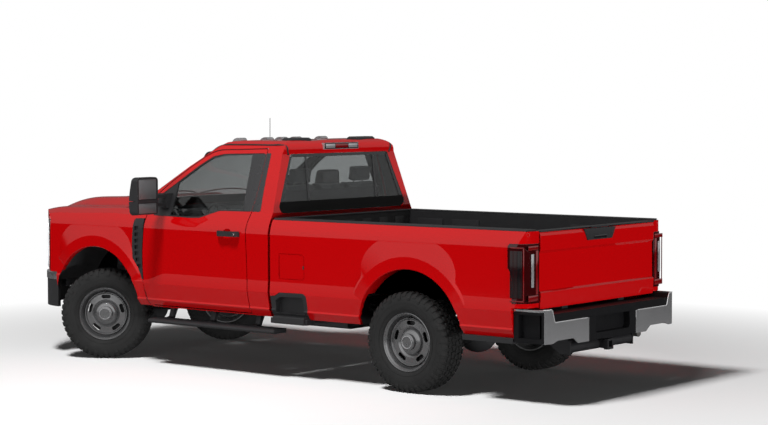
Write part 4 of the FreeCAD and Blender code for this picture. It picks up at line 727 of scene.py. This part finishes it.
def panel(node, width=sheet_rim, lining=None):
    """A copy with its rims rounded; a test can part its inner faces."""
    piece = bare_copy(node, node + "_panel")
    bevelled(piece, width, 2, 32)
    smooth(piece, 35)
    parts = [(piece, node_finish[node], slot_of[node])]
    if lining:
        into_edit(piece, "FACE")
        mesh = bmesh.from_edit_mesh(piece.data)
        for face in mesh.faces:
            face.select_set(bool(lining(face.calc_center_median(), face.normal)))
        mesh.select_flush_mode()
        bmesh.update_edit_mesh(piece.data)
        bpy.ops.mesh.separate(type="SELECTED")
        out_of_edit()
        inner = next(o for o in bpy.context.selected_objects if o is not piece)
        parts.append((named(node + "_lining", inner), cabin_plastic, "interior_grey"))
    shading = shading_of(node)
    for part, finish, slot in parts:
        shade_like(part, shading)
        set_on(part, node, finish, slot)
        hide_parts(node)


def inside_cab(centre, normal):
    """True for a face that looks in at the seats, and for the floor's top."""
    out = (centre - cab_middle).normalized()
    on_floor = centre.z < cab_floor_z and abs(centre.y) < cab_floor_half
    return normal.dot(out) < -0.5 or (normal.z > 0.9 and on_floor)


def inside_door(centre, normal):
    """True for the door's inner side and for the frame round its window."""
    if normal.y * centre.y < 0 and abs(normal.y) > 0.6:
        return True
    to_pane = (Vector((side_window[0], centre.y, side_window[1])) - centre).normalized()
    return centre.z > side_window_foot and normal.dot(to_pane) > 0.45


def make_panels():
    for name in ("hood", "tailgate", "fender_left", "fender_right", "bed_side_left", "bed_side_right",
                 "fuel_door"):
        panel(name)
    panel("cab_shell", lining=inside_cab)
    for side, _ in SIDES:
        panel("door_" + side, lining=inside_door)
        panel("door_trim_" + side, moulded_rim)
        panel("mirror_" + side, mirror_rim)
    for name in ("bumper_pads", "bed_rail_caps", "tailgate_trim", "bed_steps", "lower_strips",
                 "running_boards", "front_valance", "cowl", "bed_box"):
        panel(name, moulded_rim)
    panel("fender_vents", vent_rim)
    panel("rear_bumper", rear_chrome_rim)
    panel("front_bumper", front_chrome_rim)
    panel("grille")


# Points on the truck's skin

def skin_of(node):
    """A node's surface, to find points on."""
    mesh = nodes[node].data
    return BVHTree.FromPolygons([v.co for v in mesh.vertices], [f.vertices for f in mesh.polygons])


def from_left(skin, x, z):
    """The point of the left half first met from the left, or None."""
    return skin.ray_cast((x, 2, z), (0, -1, 0), 1.6)[0]


def on_front(skin, y, z, proud=0.0):
    """The point first met from the front, and the way that it faces."""
    place, normal, _, _ = skin.ray_cast((4, y, z), (-1, 0, 0))
    return place + normal * proud, normal


# Flares over the arches

def flare_outer(end, across, along):
    """Where the flare's slope runs out, from the arch's middle."""
    a = (across / flare_reach) ** 2 + (along / flare_height) ** 2
    b = -2 * along * flare_rise / flare_height ** 2
    c = (flare_rise / flare_height) ** 2 - 1
    inside = b * b - 4 * a * c
    outer = (-b + sqrt(inside)) / (2 * a) if inside > 0 else 0.0
    outer = min(outer, (shoulder_z - arch_middle[end][1]) / along)
    return max(outer, arch_radius[end] + flare_lip + flare_least_slope)


def flare_line(end, angle, skin):
    """A flare's points along one spoke, from inside the lip to its outer edge."""
    middle_x, middle_z = arch_middle[end]
    across, along = cos(radians(angle)), sin(radians(angle))
    ahead, behind = flare_ends[end]
    share = min(1.0, max(0.0, min(angle - ahead, 180 - behind - angle) / flare_fade))
    share = share * share * (3 - 2 * share)
    height = flare_proud * share - flare_sink * (1 - share)
    edge = flare_over * share - flare_sink * (1 - share)

    def on_spoke(radius, proud, under):
        found = from_left(skin, middle_x + under * across, middle_z + under * along)
        base = found.y if found and found.y > side_half - 0.05 else side_half
        return middle_x + radius * across, base + proud, middle_z + radius * along

    inner = arch_radius[end] + flare_inner
    rim = arch_radius[end] + flare_roll
    lip = arch_radius[end] + flare_lip
    outer = flare_outer(end, across, along)
    beyond = outer + 0.003
    return [on_spoke(inner, -flare_return, rim), on_spoke(inner, height - 0.005, rim),
            on_spoke(rim, height, rim), on_spoke(lip, height, lip), on_spoke(outer, edge, outer),
            on_spoke(beyond, -0.004, beyond)]


def make_flare(end, node):
    """A rolled lip round an arch, with a slope that runs out into the side."""
    skin = skin_of(node % "left")
    first, last = flare_ends[end][0], 180 - flare_ends[end][1]
    angles = [first + (last - first) * k / flare_steps for k in range(flare_steps + 1)]
    places = list(zip(*[flare_line(end, angle, skin) for angle in angles]))
    piece = draw_outline("flare_" + end, places[0], closed=False)
    for row in places[1:]:
        extrude((0, 0, 0))
        mesh = bmesh.from_edit_mesh(piece.data)
        mesh.verts.ensure_lookup_table()
        for vertex, place in zip(mesh.verts[-len(row):], row):
            vertex.co = place
        bmesh.update_edit_mesh(piece.data)
    mesh = bmesh.from_edit_mesh(piece.data)
    mesh.verts.ensure_lookup_table()
    for edge in mesh.edges:
        rows = {v.index // (flare_steps + 1) for v in edge.verts}
        edge.smooth = len(rows) > 1 or not rows & flare_creases
    outward()
    mesh = bmesh.from_edit_mesh(piece.data)
    if sum(face.normal.y * face.calc_area() for face in mesh.faces) < 0:
        bpy.ops.mesh.flip_normals()
    out_of_edit()
    bpy.ops.object.shade_smooth()
    both_sides(piece, node, red_paint, "body_red")


# Black window surrounds, roof moulding, high lamp and seals

def side_place(x, z, proud=0.0):
    """A point on the left upper side of the cab."""
    return Vector((x, belt_half - side_lean * (z - belt_z) + proud, z))


def back_place(y, z, proud=0.0):
    """A point on the rear glass."""
    return Vector((back_glass_x + back_lean * (z - back_glass_z) - proud, y, z))


def make_post_covers():
    """Black covers on the door's rear post and on the cab's post beside it, as (x, z)."""
    door_part = [(0.0492, 1.874), (0.0452, 1.680), (0.0512, 1.487), (0.0650, 1.391), (0.158, 1.391),
                 (0.168, 1.404), (0.206, 1.866), (0.198, 1.874)]
    cab_part = [(0.0470, 1.880), (0.0430, 1.680), (0.0490, 1.487), (0.0624, 1.391), (-0.022, 1.390),
                (-0.036, 1.398), (-0.034, 1.430), (-0.019, 1.572), (-0.010, 1.740), (-0.005, 1.874),
                (0.003, 1.881)]
    for name, node, outline in (("post_cover_front", "door_%s", door_part),
                                ("post_cover_rear", "cab_shell", cab_part)):
        places = [side_place(x, z, -cover_sink) for x, z in outline]
        plate = pushed(name, places, (0, cover_thickness, 0), 0.0010)
        both_sides(plate, node, window_black, "trim_black")


def make_glass_bands():
    """The black bands and rails on the rear glass, as (y, z)."""
    foot, top = pane_foot_z, pane_top_z
    bands = {"top": [(-0.640, top), (-0.636, 1.8715), (0.636, 1.8715), (0.640, top)],
             "foot": [(-0.846, 1.432), (-0.832, foot), (0.832, foot), (0.846, 1.432), (0.836, 1.401),
                      (0.800, 1.378), (-0.800, 1.378), (-0.836, 1.401)]}
    edge = [(0.831, foot), (0.790, foot), (0.640, top), (0.664, 1.858)]
    rail = [(0.468, foot), (0.446, foot), (0.446, top), (0.468, top)]
    for label, sign in SIDES:
        bands["edge_" + label] = [(sign * y, z) for y, z in edge]
        bands["rail_" + label] = [(sign * y, z) for y, z in rail]
    for label, outline in bands.items():
        places = [back_place(y, z, band_proud) for y, z in outline]
        band = pushed("rear_glass_" + label, places, (-band_thickness, 0, 0))
        finish = shade_black if label == "foot" else window_black
        set_on(band, "fixed_glass", finish, "trim_black")


def tube(name, points, radius, resolution=3):
    """A round bead along a smooth line of points."""
    curve = bpy.data.curves.new(name, "CURVE")
    curve.dimensions = "3D"
    curve.bevel_depth = radius
    curve.bevel_resolution = resolution
    curve.use_fill_caps = True
    knots = curve.splines.new("BEZIER").bezier_points
    knots.add(len(points) - 1)
    for knot, point in zip(knots, points):
        knot.co = point
        knot.handle_left_type = knot.handle_right_type = "AUTO"
    only(new_object(name, curve))
    bpy.ops.object.convert(target="MESH")
    piece = named(name)
    smooth(piece, 60)
    return piece


def make_roof_moulding():
    """The moulding in each roof gutter."""
    line = [(0.80, 0.71, 1.87), (0.62, 0.712, 1.925), (0.40, 0.712, 1.945), (0.20, 0.712, 1.948),
            (0.02, 0.712, 1.947), (-0.07, 0.706, 1.944), (-0.115, 0.700, 1.925), (-0.135, 0.694, 1.895),
            (-0.135, 0.680, 1.868)]
    roof = skin_of("cab_shell")
    bead = tube("roof_moulding", [roof.find_nearest(point)[0] for point in line], 0.0085)
    both_sides(bead, "cab_shell", *trim)


def make_stop_lamp():
    """The high lamp over the rear glass: a red pane between two clear ones."""
    x = stop_lamp_x
    case = block("stop_lamp_case", (x, -0.226, 1.909), (x + 0.0035, 0.226, 1.959), 0.001)
    dress(case, "chassis", gloss_black)
    panes = (("left", 0.092, 0.214, clear_lens), ("middle", -0.084, 0.084, lamp_red),
             ("right", -0.214, -0.092, clear_lens))
    for label, low, high, finish in panes:
        lens = block("stop_lamp_" + label, (x - 0.0025, low, 1.917), (x + 0.0015, high, 1.951), 0.0012)
        dress(lens, "chassis", finish)


def make_door_seals():
    """A rubber seal on the cab, behind the seam over each door."""
    door = skin_of("door_left")
    cab = skin_of("cab_shell")
    levels = [2.0 - 0.002 * step for step in range(300)]
    line = []
    for k in range(seal_points):
        x = seal_start + seal_step * k
        roof = next(z for z in levels if from_left(cab, x, z))
        top = next(z for z in levels if z < roof and not from_left(cab, x, z))
        foot = next(z for z in levels if z <= top and from_left(door, x, z))
        skin_y = from_left(door, x, foot - 0.004).y
        line.append((x, skin_y - seal_inset, (top + foot) / 2))
    both_sides(tube("door_seal", line, seal_radius), "cab_shell", *trim)


# Wheel details

def wheel_details():
    """The small parts of one wheel, with their finishes."""
    face = rim_half - disc_inset
    hub = hub_radius
    brake = [(0.070, face - 0.060), (0.172, face - 0.060), (0.172, face - 0.048), (0.115, face - 0.048),
             (0.100, face - 0.030), (0.070, face - 0.030)]
    cover = [(hub + 0.0012, face - 0.010), (0.103, face - 0.013), (0.104, face - 0.004),
             (0.097, face + 0.006), (0.080, face + 0.0155), (hub + 0.0012, face + 0.019)]
    cap = [(0.0, face + 0.0455), (hub + 0.0008, face + 0.0455), (hub + 0.0008, face + 0.010),
           (hub + 0.0042, face + 0.010), (hub + 0.0032, face + 0.046), (hub - 0.003, face + 0.051),
           (0.046, face + 0.0515), (0.043, face + 0.0485), (0.0, face + 0.0480)]
    ring = [(0.045, face + 0.0485), (0.052, face + 0.0485), (0.051, face + 0.0535), (0.046, face + 0.0535)]
    edge = [(0.2350, rim_half - 0.004), (0.2372, rim_half + 0.0035), (0.2330, rim_half + 0.0065),
            (0.2280, rim_half + 0.0030), (0.2255, rim_half - 0.004)]
    stem = [(0, face - 0.008, 0.196), (0.0, face + 0.012, 0.1965), (0, face + 0.028, 0.193)]
    return (
        (turned("brake_disc", brake, hub_steps), cast_paint, "cast_parts"),
        (turned("hub_cover", cover, hub_steps, 50), wheel_paint, "wheel_silver"),
        (turned("hub_cap", cap, hub_steps, 40), hub_paint, "wheel_silver"),
        (turned("cap_ring", ring, hub_steps, 40), bright_plate, "wheel_silver"),
        (turned("rim_ring", edge, degrees=60), hub_paint, "wheel_silver"),
        (tube("valve", stem, 0.0045, 2), black_trim, "trim_black"))


def make_wheels():
    """Rounded rims, and a copy of the wheel's details on each."""
    pattern = wheel_details()
    for end, side, place in WHEELS:
        panel("rim_" + place, wheel_rim)
        for piece, material, slot in pattern:
            part = moved(copied(piece, "%s_%s" % (piece.name, place)), wheel_matrix(end, side))
            dress(part, "wheel_" + place, material)
    for piece, _, _ in pattern:
        bpy.data.objects.remove(piece)


# Tail lamps and bed ribs

def make_tail_lamps():
    """Ribs and red edges on each lens's side, a clear strip and red panes behind."""
    panel("tail_lamps", moulded_rim)
    y = tail_side_y
    for k in range(tail_ribs):
        x = -2.660 - tail_rib_pitch * k
        low = (x - tail_rib_half, y - 0.003, 0.825)
        high = (x + tail_rib_half, y + 0.0015, 1.185)
        rib = block("tail_rib_%d" % k, low, high, 0.0012)
        both_sides(rib, "tail_lamps", gloss_black, "lamp_red")
    edges = ((-2.785, -2.655, 0.797, 0.806), (-2.785, -2.660, 1.203, 1.212), (-2.786, -2.778, 0.800, 1.210))
    for k, (rear, front, foot, top) in enumerate(edges):
        edge = block("tail_edge_%d" % k, (rear, y - 0.003, foot), (front, y + 0.002, top), 0.0015)
        both_sides(edge, "tail_lamps", lamp_red, "lamp_red")
    x = tail_back_x
    strip = block("reverse_lamp", (x - 0.0025, 0.906, 0.905), (x + 0.004, 0.938, 1.160), 0.003)
    both_sides(strip, "tail_lamps", clear_lens, "lamp_clear")
    panes = ((0.850, 0.975, 0.800, 0.845), (0.850, 0.975, 1.190, 1.222), (0.850, 0.880, 0.850, 1.185))
    for k, (inner, outer, foot, top) in enumerate(panes):
        pane = block("tail_back_%d" % k, (x - 0.0022, inner, foot), (x + 0.004, outer, top), 0.002)
        both_sides(pane, "tail_lamps", lamp_red, "lamp_red")


def make_bed_ribs():
    """The pressed ribs of the bed's walls."""
    for k, (start, end) in enumerate(bed_ribs):
        rib = block("bed_wall_%d" % k, (start, 0.838, 0.930), (end, 0.8525, 1.270), 0.006)
        both_sides(rib, "bed_box", bed_coating)
        fold = block("bed_fold_%d" % k, (start + 0.05, 0.8325, 1.060), (end - 0.05, 0.8400, 1.225), 0.004)
        both_sides(fold, "bed_box", bed_coating)
    for k in range(bed_front_ribs):
        y = bed_front_pitch * (k - (bed_front_ribs - 1) / 2)
        rib = block("bed_front_%d" % k, (-0.2495, y - 0.060, 0.880), (-0.2435, y + 0.060, 1.290), 0.003)
        set_on(rib, "bed_box", bed_coating)


# Seats

def cushion(name, size, cap, voxel):
    """A padded block, swollen by the cloth solver up to a cap."""
    piece = block(name, [-0.5 * v for v in size], [0.5 * v for v in size])
    rounded(piece, min(size) * 0.22, 3)
    only(piece)
    piece.data.remesh_voxel_size = voxel
    bpy.ops.object.voxel_remesh()
    before = [v.co.copy() for v in piece.data.vertices]
    scene = bpy.context.scene
    cloth = piece.modifiers.new("cloth", "CLOTH")
    settings = cloth.settings
    settings.use_pressure = True
    settings.uniform_pressure_force = swell_pressure
    settings.effector_weights.gravity = 0.0
    settings.quality = 4
    cloth.point_cache.frame_start = 1
    cloth.point_cache.frame_end = swell_frames
    for number in range(1, swell_frames + 1):
        scene.frame_set(number)
    shaped = piece.evaluated_get(bpy.context.evaluated_depsgraph_get())
    after = [v.co.copy() for v in shaped.data.vertices]
    piece.modifiers.clear()
    scene.frame_set(1)
    for vertex, old, new in zip(piece.data.vertices, before, after):
        step = new - old
        vertex.co = old + (step if step.length <= cap else step.normalized() * cap)
    smooth(piece, 60)
    return piece


def placed(piece, name, place, lean=0.0, scale=(1, 1, 1)):
    part = copied(piece, name)
    turn = Matrix.Translation(place) @ Matrix.Rotation(lean, 4, "Y") @ Matrix.Diagonal((*scale, 1))
    return moved(part, turn)


def make_seats():
    """Two seats and a narrower one between them, on a plinth."""
    seat = cushion("seat_pattern", (0.470, 0.440, 0.105), 0.020, 0.0085)
    back = cushion("back_pattern", (0.100, 0.440, 0.610), 0.020, 0.0085)
    head = cushion("head_pattern", (0.070, 0.235, 0.120), 0.016, 0.0060)
    for label, y, width in (("left", seat_y, 1.0), ("middle", 0.0, middle_seat_width),
                            ("right", -seat_y, 1.0)):
        pieces = [placed(seat, "seat_cushion_" + label, (0.345, y, 0.990), seat_tip, (1, width, 1)),
                  placed(back, "seat_back_" + label, (0.060, y, 1.315), seat_lean, (1, width, 1))]
        if label != "middle":
            pieces.append(placed(head, "head_rest_" + label, (-0.014, y * 0.942, 1.678), seat_lean))
        for piece in pieces:
            set_on(piece, "seat_bench", seat_cloth)
            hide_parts("seat_bench")
    plinth = block("seat_plinth", (0.125, -0.635, 0.7155), (0.560, 0.635, 0.930), 0.012)
    set_on(plinth, "seat_bench", cabin_plastic)
    board = block("seat_back_board", (-0.034, -0.640, 1.020), (-0.018, 0.640, 1.560), 0.006)
    pivot_z = 1.29
    moved(board, Matrix.Translation((0.0, 0, pivot_z)) @ Matrix.Rotation(seat_lean, 4, "Y")
          @ Matrix.Translation((0.024, 0, -pivot_z)))
    set_on(board, "seat_bench", cabin_plastic)
    for side in (-1, 1):
        for shift in (-0.06, 0.06):
            y = side * 0.405 + shift
            line = [(0.012, y, 1.585), (0.004, y, 1.610), (-0.004, y, 1.640)]
            set_on(tube("head_rod_%d_%d" % (side > 0, shift > 0), line, 0.006), "seat_bench", dull_steel)
    for pattern in (seat, back, head):
        bpy.data.objects.remove(pattern)


# Wipers, mirrors, headlamps and small parts

def make_wipers():
    """Two wiper arms parked on the cowl."""
    screen = skin_of("fixed_glass")
    for k, (start, end) in enumerate(((0.62, 0.05), (-0.02, -0.60))):
        path = []
        for share in (0.0, 0.2, 0.4, 0.6, 0.8, 1.0):
            z = 1.475 + 0.030 * sin(share * 3.0)
            place, _ = on_front(screen, start + (end - start) * share, z)
            path.append(place + Vector((0.010, 0, 0.004)))
        blade = tube("wiper_%d" % k, path, 0.006)
        set_on(blade, "fixed_glass", *trim)


def make_mirror_glasses():
    for name, foot, top in (("mirror_pane", 1.478, 1.650), ("mirror_spot", 1.356, 1.442)):
        pane = block(name, (1.0145, 1.116, foot), (1.0185, 1.327, top), 0.0015)
        both_sides(pane, "mirror_%s", mirror_glass, "glass")


def make_headlamps():
    """Three bowls and a bright line round them in each headlamp."""
    panel("headlamps", moulded_rim)
    nose = skin_of("headlamps")
    bowl = turned("lamp_bowl", [(0.0, 0.004), (0.034, 0.006), (0.046, 0.010), (0.050, 0.004),
                                (0.050, -0.004), (0.0, -0.004)], 48, 40)
    for k, z in enumerate(bowl_heights):
        place, normal = on_front(nose, bowl_y, z, 0.002)
        part = copied(bowl, "lamp_bowl_%d" % k)
        moved(part, Matrix.Translation(place) @ normal.to_track_quat("Y", "Z").to_matrix().to_4x4())
        both_sides(part, "headlamps", lamp_bright, "lamp_clear")
    bpy.data.objects.remove(bowl)
    path = [(0.665, 1.215), (0.780, 1.215), (0.880, 1.205), (0.905, 1.150), (0.905, 1.000), (0.905, 0.850),
            (0.880, 0.800), (0.780, 0.795), (0.665, 0.795)]
    bar = tube("lamp_line", [on_front(nose, y, z, 0.001)[0] for y, z in path], 0.007)
    both_sides(bar, "headlamps", lamp_bright, "lamp_clear")


def make_door_lock():
    lock = turned("lock", [(0.0, 0.0), (0.008, 0.0), (0.008, 0.003), (0.0065, 0.0042), (0.0, 0.0042)], 24)
    moved(lock, Matrix.Translation((0.160, 1.0562, 1.198)))
    both_sides(lock, "door_%s", bright_plate, "bright_metal")


def make_gate_handle():
    x = gate_back_x
    outline = [(x, -0.232, 1.318), (x, 0.232, 1.318), (x, 0.178, 1.226), (x, -0.178, 1.226)]
    handle = pushed("gate_handle", outline, (-0.012, 0, 0), 0.004)
    set_on(handle, "tailgate", *trim)
    grip = block("gate_grip", (x - 0.0175, -0.088, 1.236), (x - 0.010, 0.088, 1.262), 0.003)
    set_on(grip, "tailgate", gloss_black, "trim_black")


def make_bumper_highlight_bead():
    """A bright chrome bead along the top edge of each half of the rear bumper: a painted highlight standing
    in for the reflection off the bumper's rounded top edge.
    """
    rear = skin_of("rear_bumper")
    edge = []
    for k in range(bead_points):
        y = bead_start_y + bead_step * k
        level = [rear.ray_cast((-4, y, 0.60 + 0.002 * step), (1, 0, 0))[0] for step in range(75)]
        top = [place for place in level if place and place.x < -2.80][-1]
        edge.append(top + Vector((0.002, 0, 0)))
    both_sides(tube("bumper_highlight_bead", edge, 0.0045), "rear_bumper", highlight_bead_chrome, "bright_metal")


def make_fuel_notch():
    notch = block("fuel_notch", (-0.580, 1.0005, 0.935), (-0.566, 1.0045, 0.962), 0.0015)
    set_on(notch, "fuel_door", *trim)


def make_step_ribs():
    for k in range(step_ribs):
        x = -0.235 + step_pitch * k
        tread = block("step_tread_%02d" % k, (x, 0.885, 0.4150), (x + 0.030, 1.004, 0.4192), 0.0012)
        both_sides(tread, "running_boards", *trim)


# Stage, lights and camera

def ray_is(tree, *kinds):
    """The node and output that tell if a ray is one of the kinds."""
    path = add_node(tree, "LightPath")
    source = (path, kinds[0])
    for kind in kinds[1:]:
        either = add_node(tree, "Math", "MAXIMUM")
        link(*source, either, 0)
        link(path, kind, either, 1)
        source = (either, 0)
    return source


def mix_colour(tree, **values):
    """A node that mixes two colours, A and B."""
    node = tree.nodes.new("ShaderNodeMix")
    node.data_type = "RGBA"
    for label, colour in values.items():
        node.inputs[label].default_value = (*colour, 1)
    return node


def make_stage():
    """A floor that is pale to the eye, and dark in the paint as a yard is."""
    bpy.ops.mesh.primitive_plane_add(size=floor_size, location=(0, 0, 0))
    floor = named("floor")
    material, tree, shader = new_material("pale_floor")
    fill(shader, {"Roughness": 0.9, "Specular IOR Level": 0.0})
    seen = ray_is(tree, "Is Camera Ray", "Is Transmission Ray")
    place = add_node(tree, "TexCoord")
    reach = add_node(tree, "VectorMath", "LENGTH")
    gloss_share = add_node(tree, "MapRange", From_Min=gloss_fade[0], From_Max=gloss_fade[1])
    eye_share = add_node(tree, "MapRange", From_Min=eye_fade[0], From_Max=eye_fade[1])
    ground = mix_colour(tree, A=floor_near_in_gloss, B=floor_far_in_gloss)
    tone = mix_colour(tree, B=floor_to_eye)
    white = add_node(tree, "Emission", Color=(1, 1, 1, 1))
    both = add_node(tree, "Math", "MULTIPLY")
    mix = add_node(tree, "MixShader")
    link(place, "Object", reach, 0)
    link(reach, "Value", gloss_share, "Value")
    link(reach, "Value", eye_share, "Value")
    link(gloss_share, 0, ground, "Factor")
    link(ground, "Result", tone, "A")
    link(*seen, tone, "Factor")
    link(tone, "Result", shader, "Base Color")
    link(eye_share, 0, both, 0)
    link(*seen, both, 1)
    link(both, 0, mix, 0)
    link(shader, 0, mix, 1)
    link(white, 0, mix, 2)
    link(mix, 0, tree.nodes["Material Output"], "Surface")
    floor.data.materials.append(material)


def make_world():
    """White to the eye, a weak even light, and a pale sky in the gloss."""
    world = bpy.data.worlds.new("studio")
    bpy.context.scene.world = world
    world.use_nodes = True
    tree = world.node_tree
    tree.nodes.clear()
    output = add_node(tree, "OutputWorld")
    place = add_node(tree, "TexCoord")
    split = add_node(tree, "SeparateXYZ")
    ramp = add_node(tree, "ValToRGB")
    for stop, position, tone in zip(ramp.color_ramp.elements, (0.0, sky_edge), (sky_foot, sky_body)):
        stop.position = position
        stop.color = (tone, tone, tone, 1)
    facing = add_node(tree, "VectorMath", "DOT_PRODUCT")
    facing.inputs[1].default_value = sky_bright_side
    low, high = sky_in_gloss
    level = add_node(tree, "MapRange", From_Min=-1.0, From_Max=1.0, To_Min=low, To_Max=high)
    even = add_node(tree, "Background", Color=(1, 1, 1, 1), Strength=sky_light)
    gloss = add_node(tree, "Background")
    plain = add_node(tree, "Background", Color=(1, 1, 1, 1))
    first = add_node(tree, "MixShader")
    second = add_node(tree, "MixShader")
    link(place, "Generated", split, 0)
    link(split, "Z", ramp, 0)
    link(place, "Generated", facing, 0)
    link(facing, "Value", level, "Value")
    link(ramp, 0, gloss, "Color")
    link(level, 0, gloss, "Strength")
    link(*ray_is(tree, "Is Glossy Ray"), first, 0)
    link(even, 0, first, 1)
    link(gloss, 0, first, 2)
    link(*ray_is(tree, "Is Camera Ray", "Is Transmission Ray"), second, 0)
    link(first, 0, second, 1)
    link(plain, 0, second, 2)
    link(second, 0, output, "Surface")


def add_softbox(name, place, aim, width, height, power):
    """A soft lamp that lights the truck and isn't seen itself."""
    data = bpy.data.lights.new(name, "AREA")
    data.shape = "RECTANGLE"
    data.size = width
    data.size_y = height
    data.energy = power
    lamp = new_object(name, data)
    lamp.location = place
    lamp.rotation_euler = (Vector(aim) - Vector(place)).to_track_quat("-Z", "Y").to_euler()
    lamp.visible_camera = lamp.visible_glossy = lamp.visible_transmission = False


def make_lights():
    """One lamp overhead throws the shadow; low wide ones light the sides."""
    add_softbox("overhead", (-0.5, 5.5, 10.0), (0, 0, 0.5), 1.8, 1.8, 1220)
    add_softbox("rear", (-low_away, 3.0, low_z), (-2.0, 0, 1.0), 12.0, low_height, 5600)
    add_softbox("left", (2.0, low_away, low_z), (0, 0, 1.0), 18.0, low_height, 3300)
    add_softbox("right", (0.0, -low_away, low_z), (0, 0, 1.0), 18.0, low_height, 4200)
    add_softbox("front", (low_away, -3.0, low_z), (2.0, 0, 1.0), 12.0, low_height, 5200)


def make_camera():
    data = bpy.data.cameras.new("camera")
    data.sensor_width = sensor_width
    data.lens = sensor_width * focal_pixels / image_width
    data.clip_end = 200.0
    camera = new_object("camera", data)
    turn = Matrix.Rotation(pi + camera_yaw, 4, "Z") @ Matrix.Rotation(pi / 2 - camera_pitch, 4, "X")
    camera.matrix_world = Matrix.Translation(camera_place) @ turn @ Matrix.Rotation(camera_roll, 4, "Z")
    bpy.context.scene.camera = camera


make_camera()
make_stage()
make_world()
make_lights()
bpy.context.scene.view_settings.view_transform = "Standard"
make_panels()
make_flare("front", "fender_%s")
make_flare("rear", "bed_side_%s")
make_post_covers()
make_glass_bands()
make_roof_moulding()
make_stop_lamp()
make_door_seals()
make_tyres()
make_wheels()
make_tail_lamps()
make_headlamps()
make_mirror_glasses()
make_door_lock()
make_gate_handle()
make_bumper_highlight_bead()
make_fuel_notch()
make_step_ribs()
make_bed_ribs()
make_wipers()
make_seats()
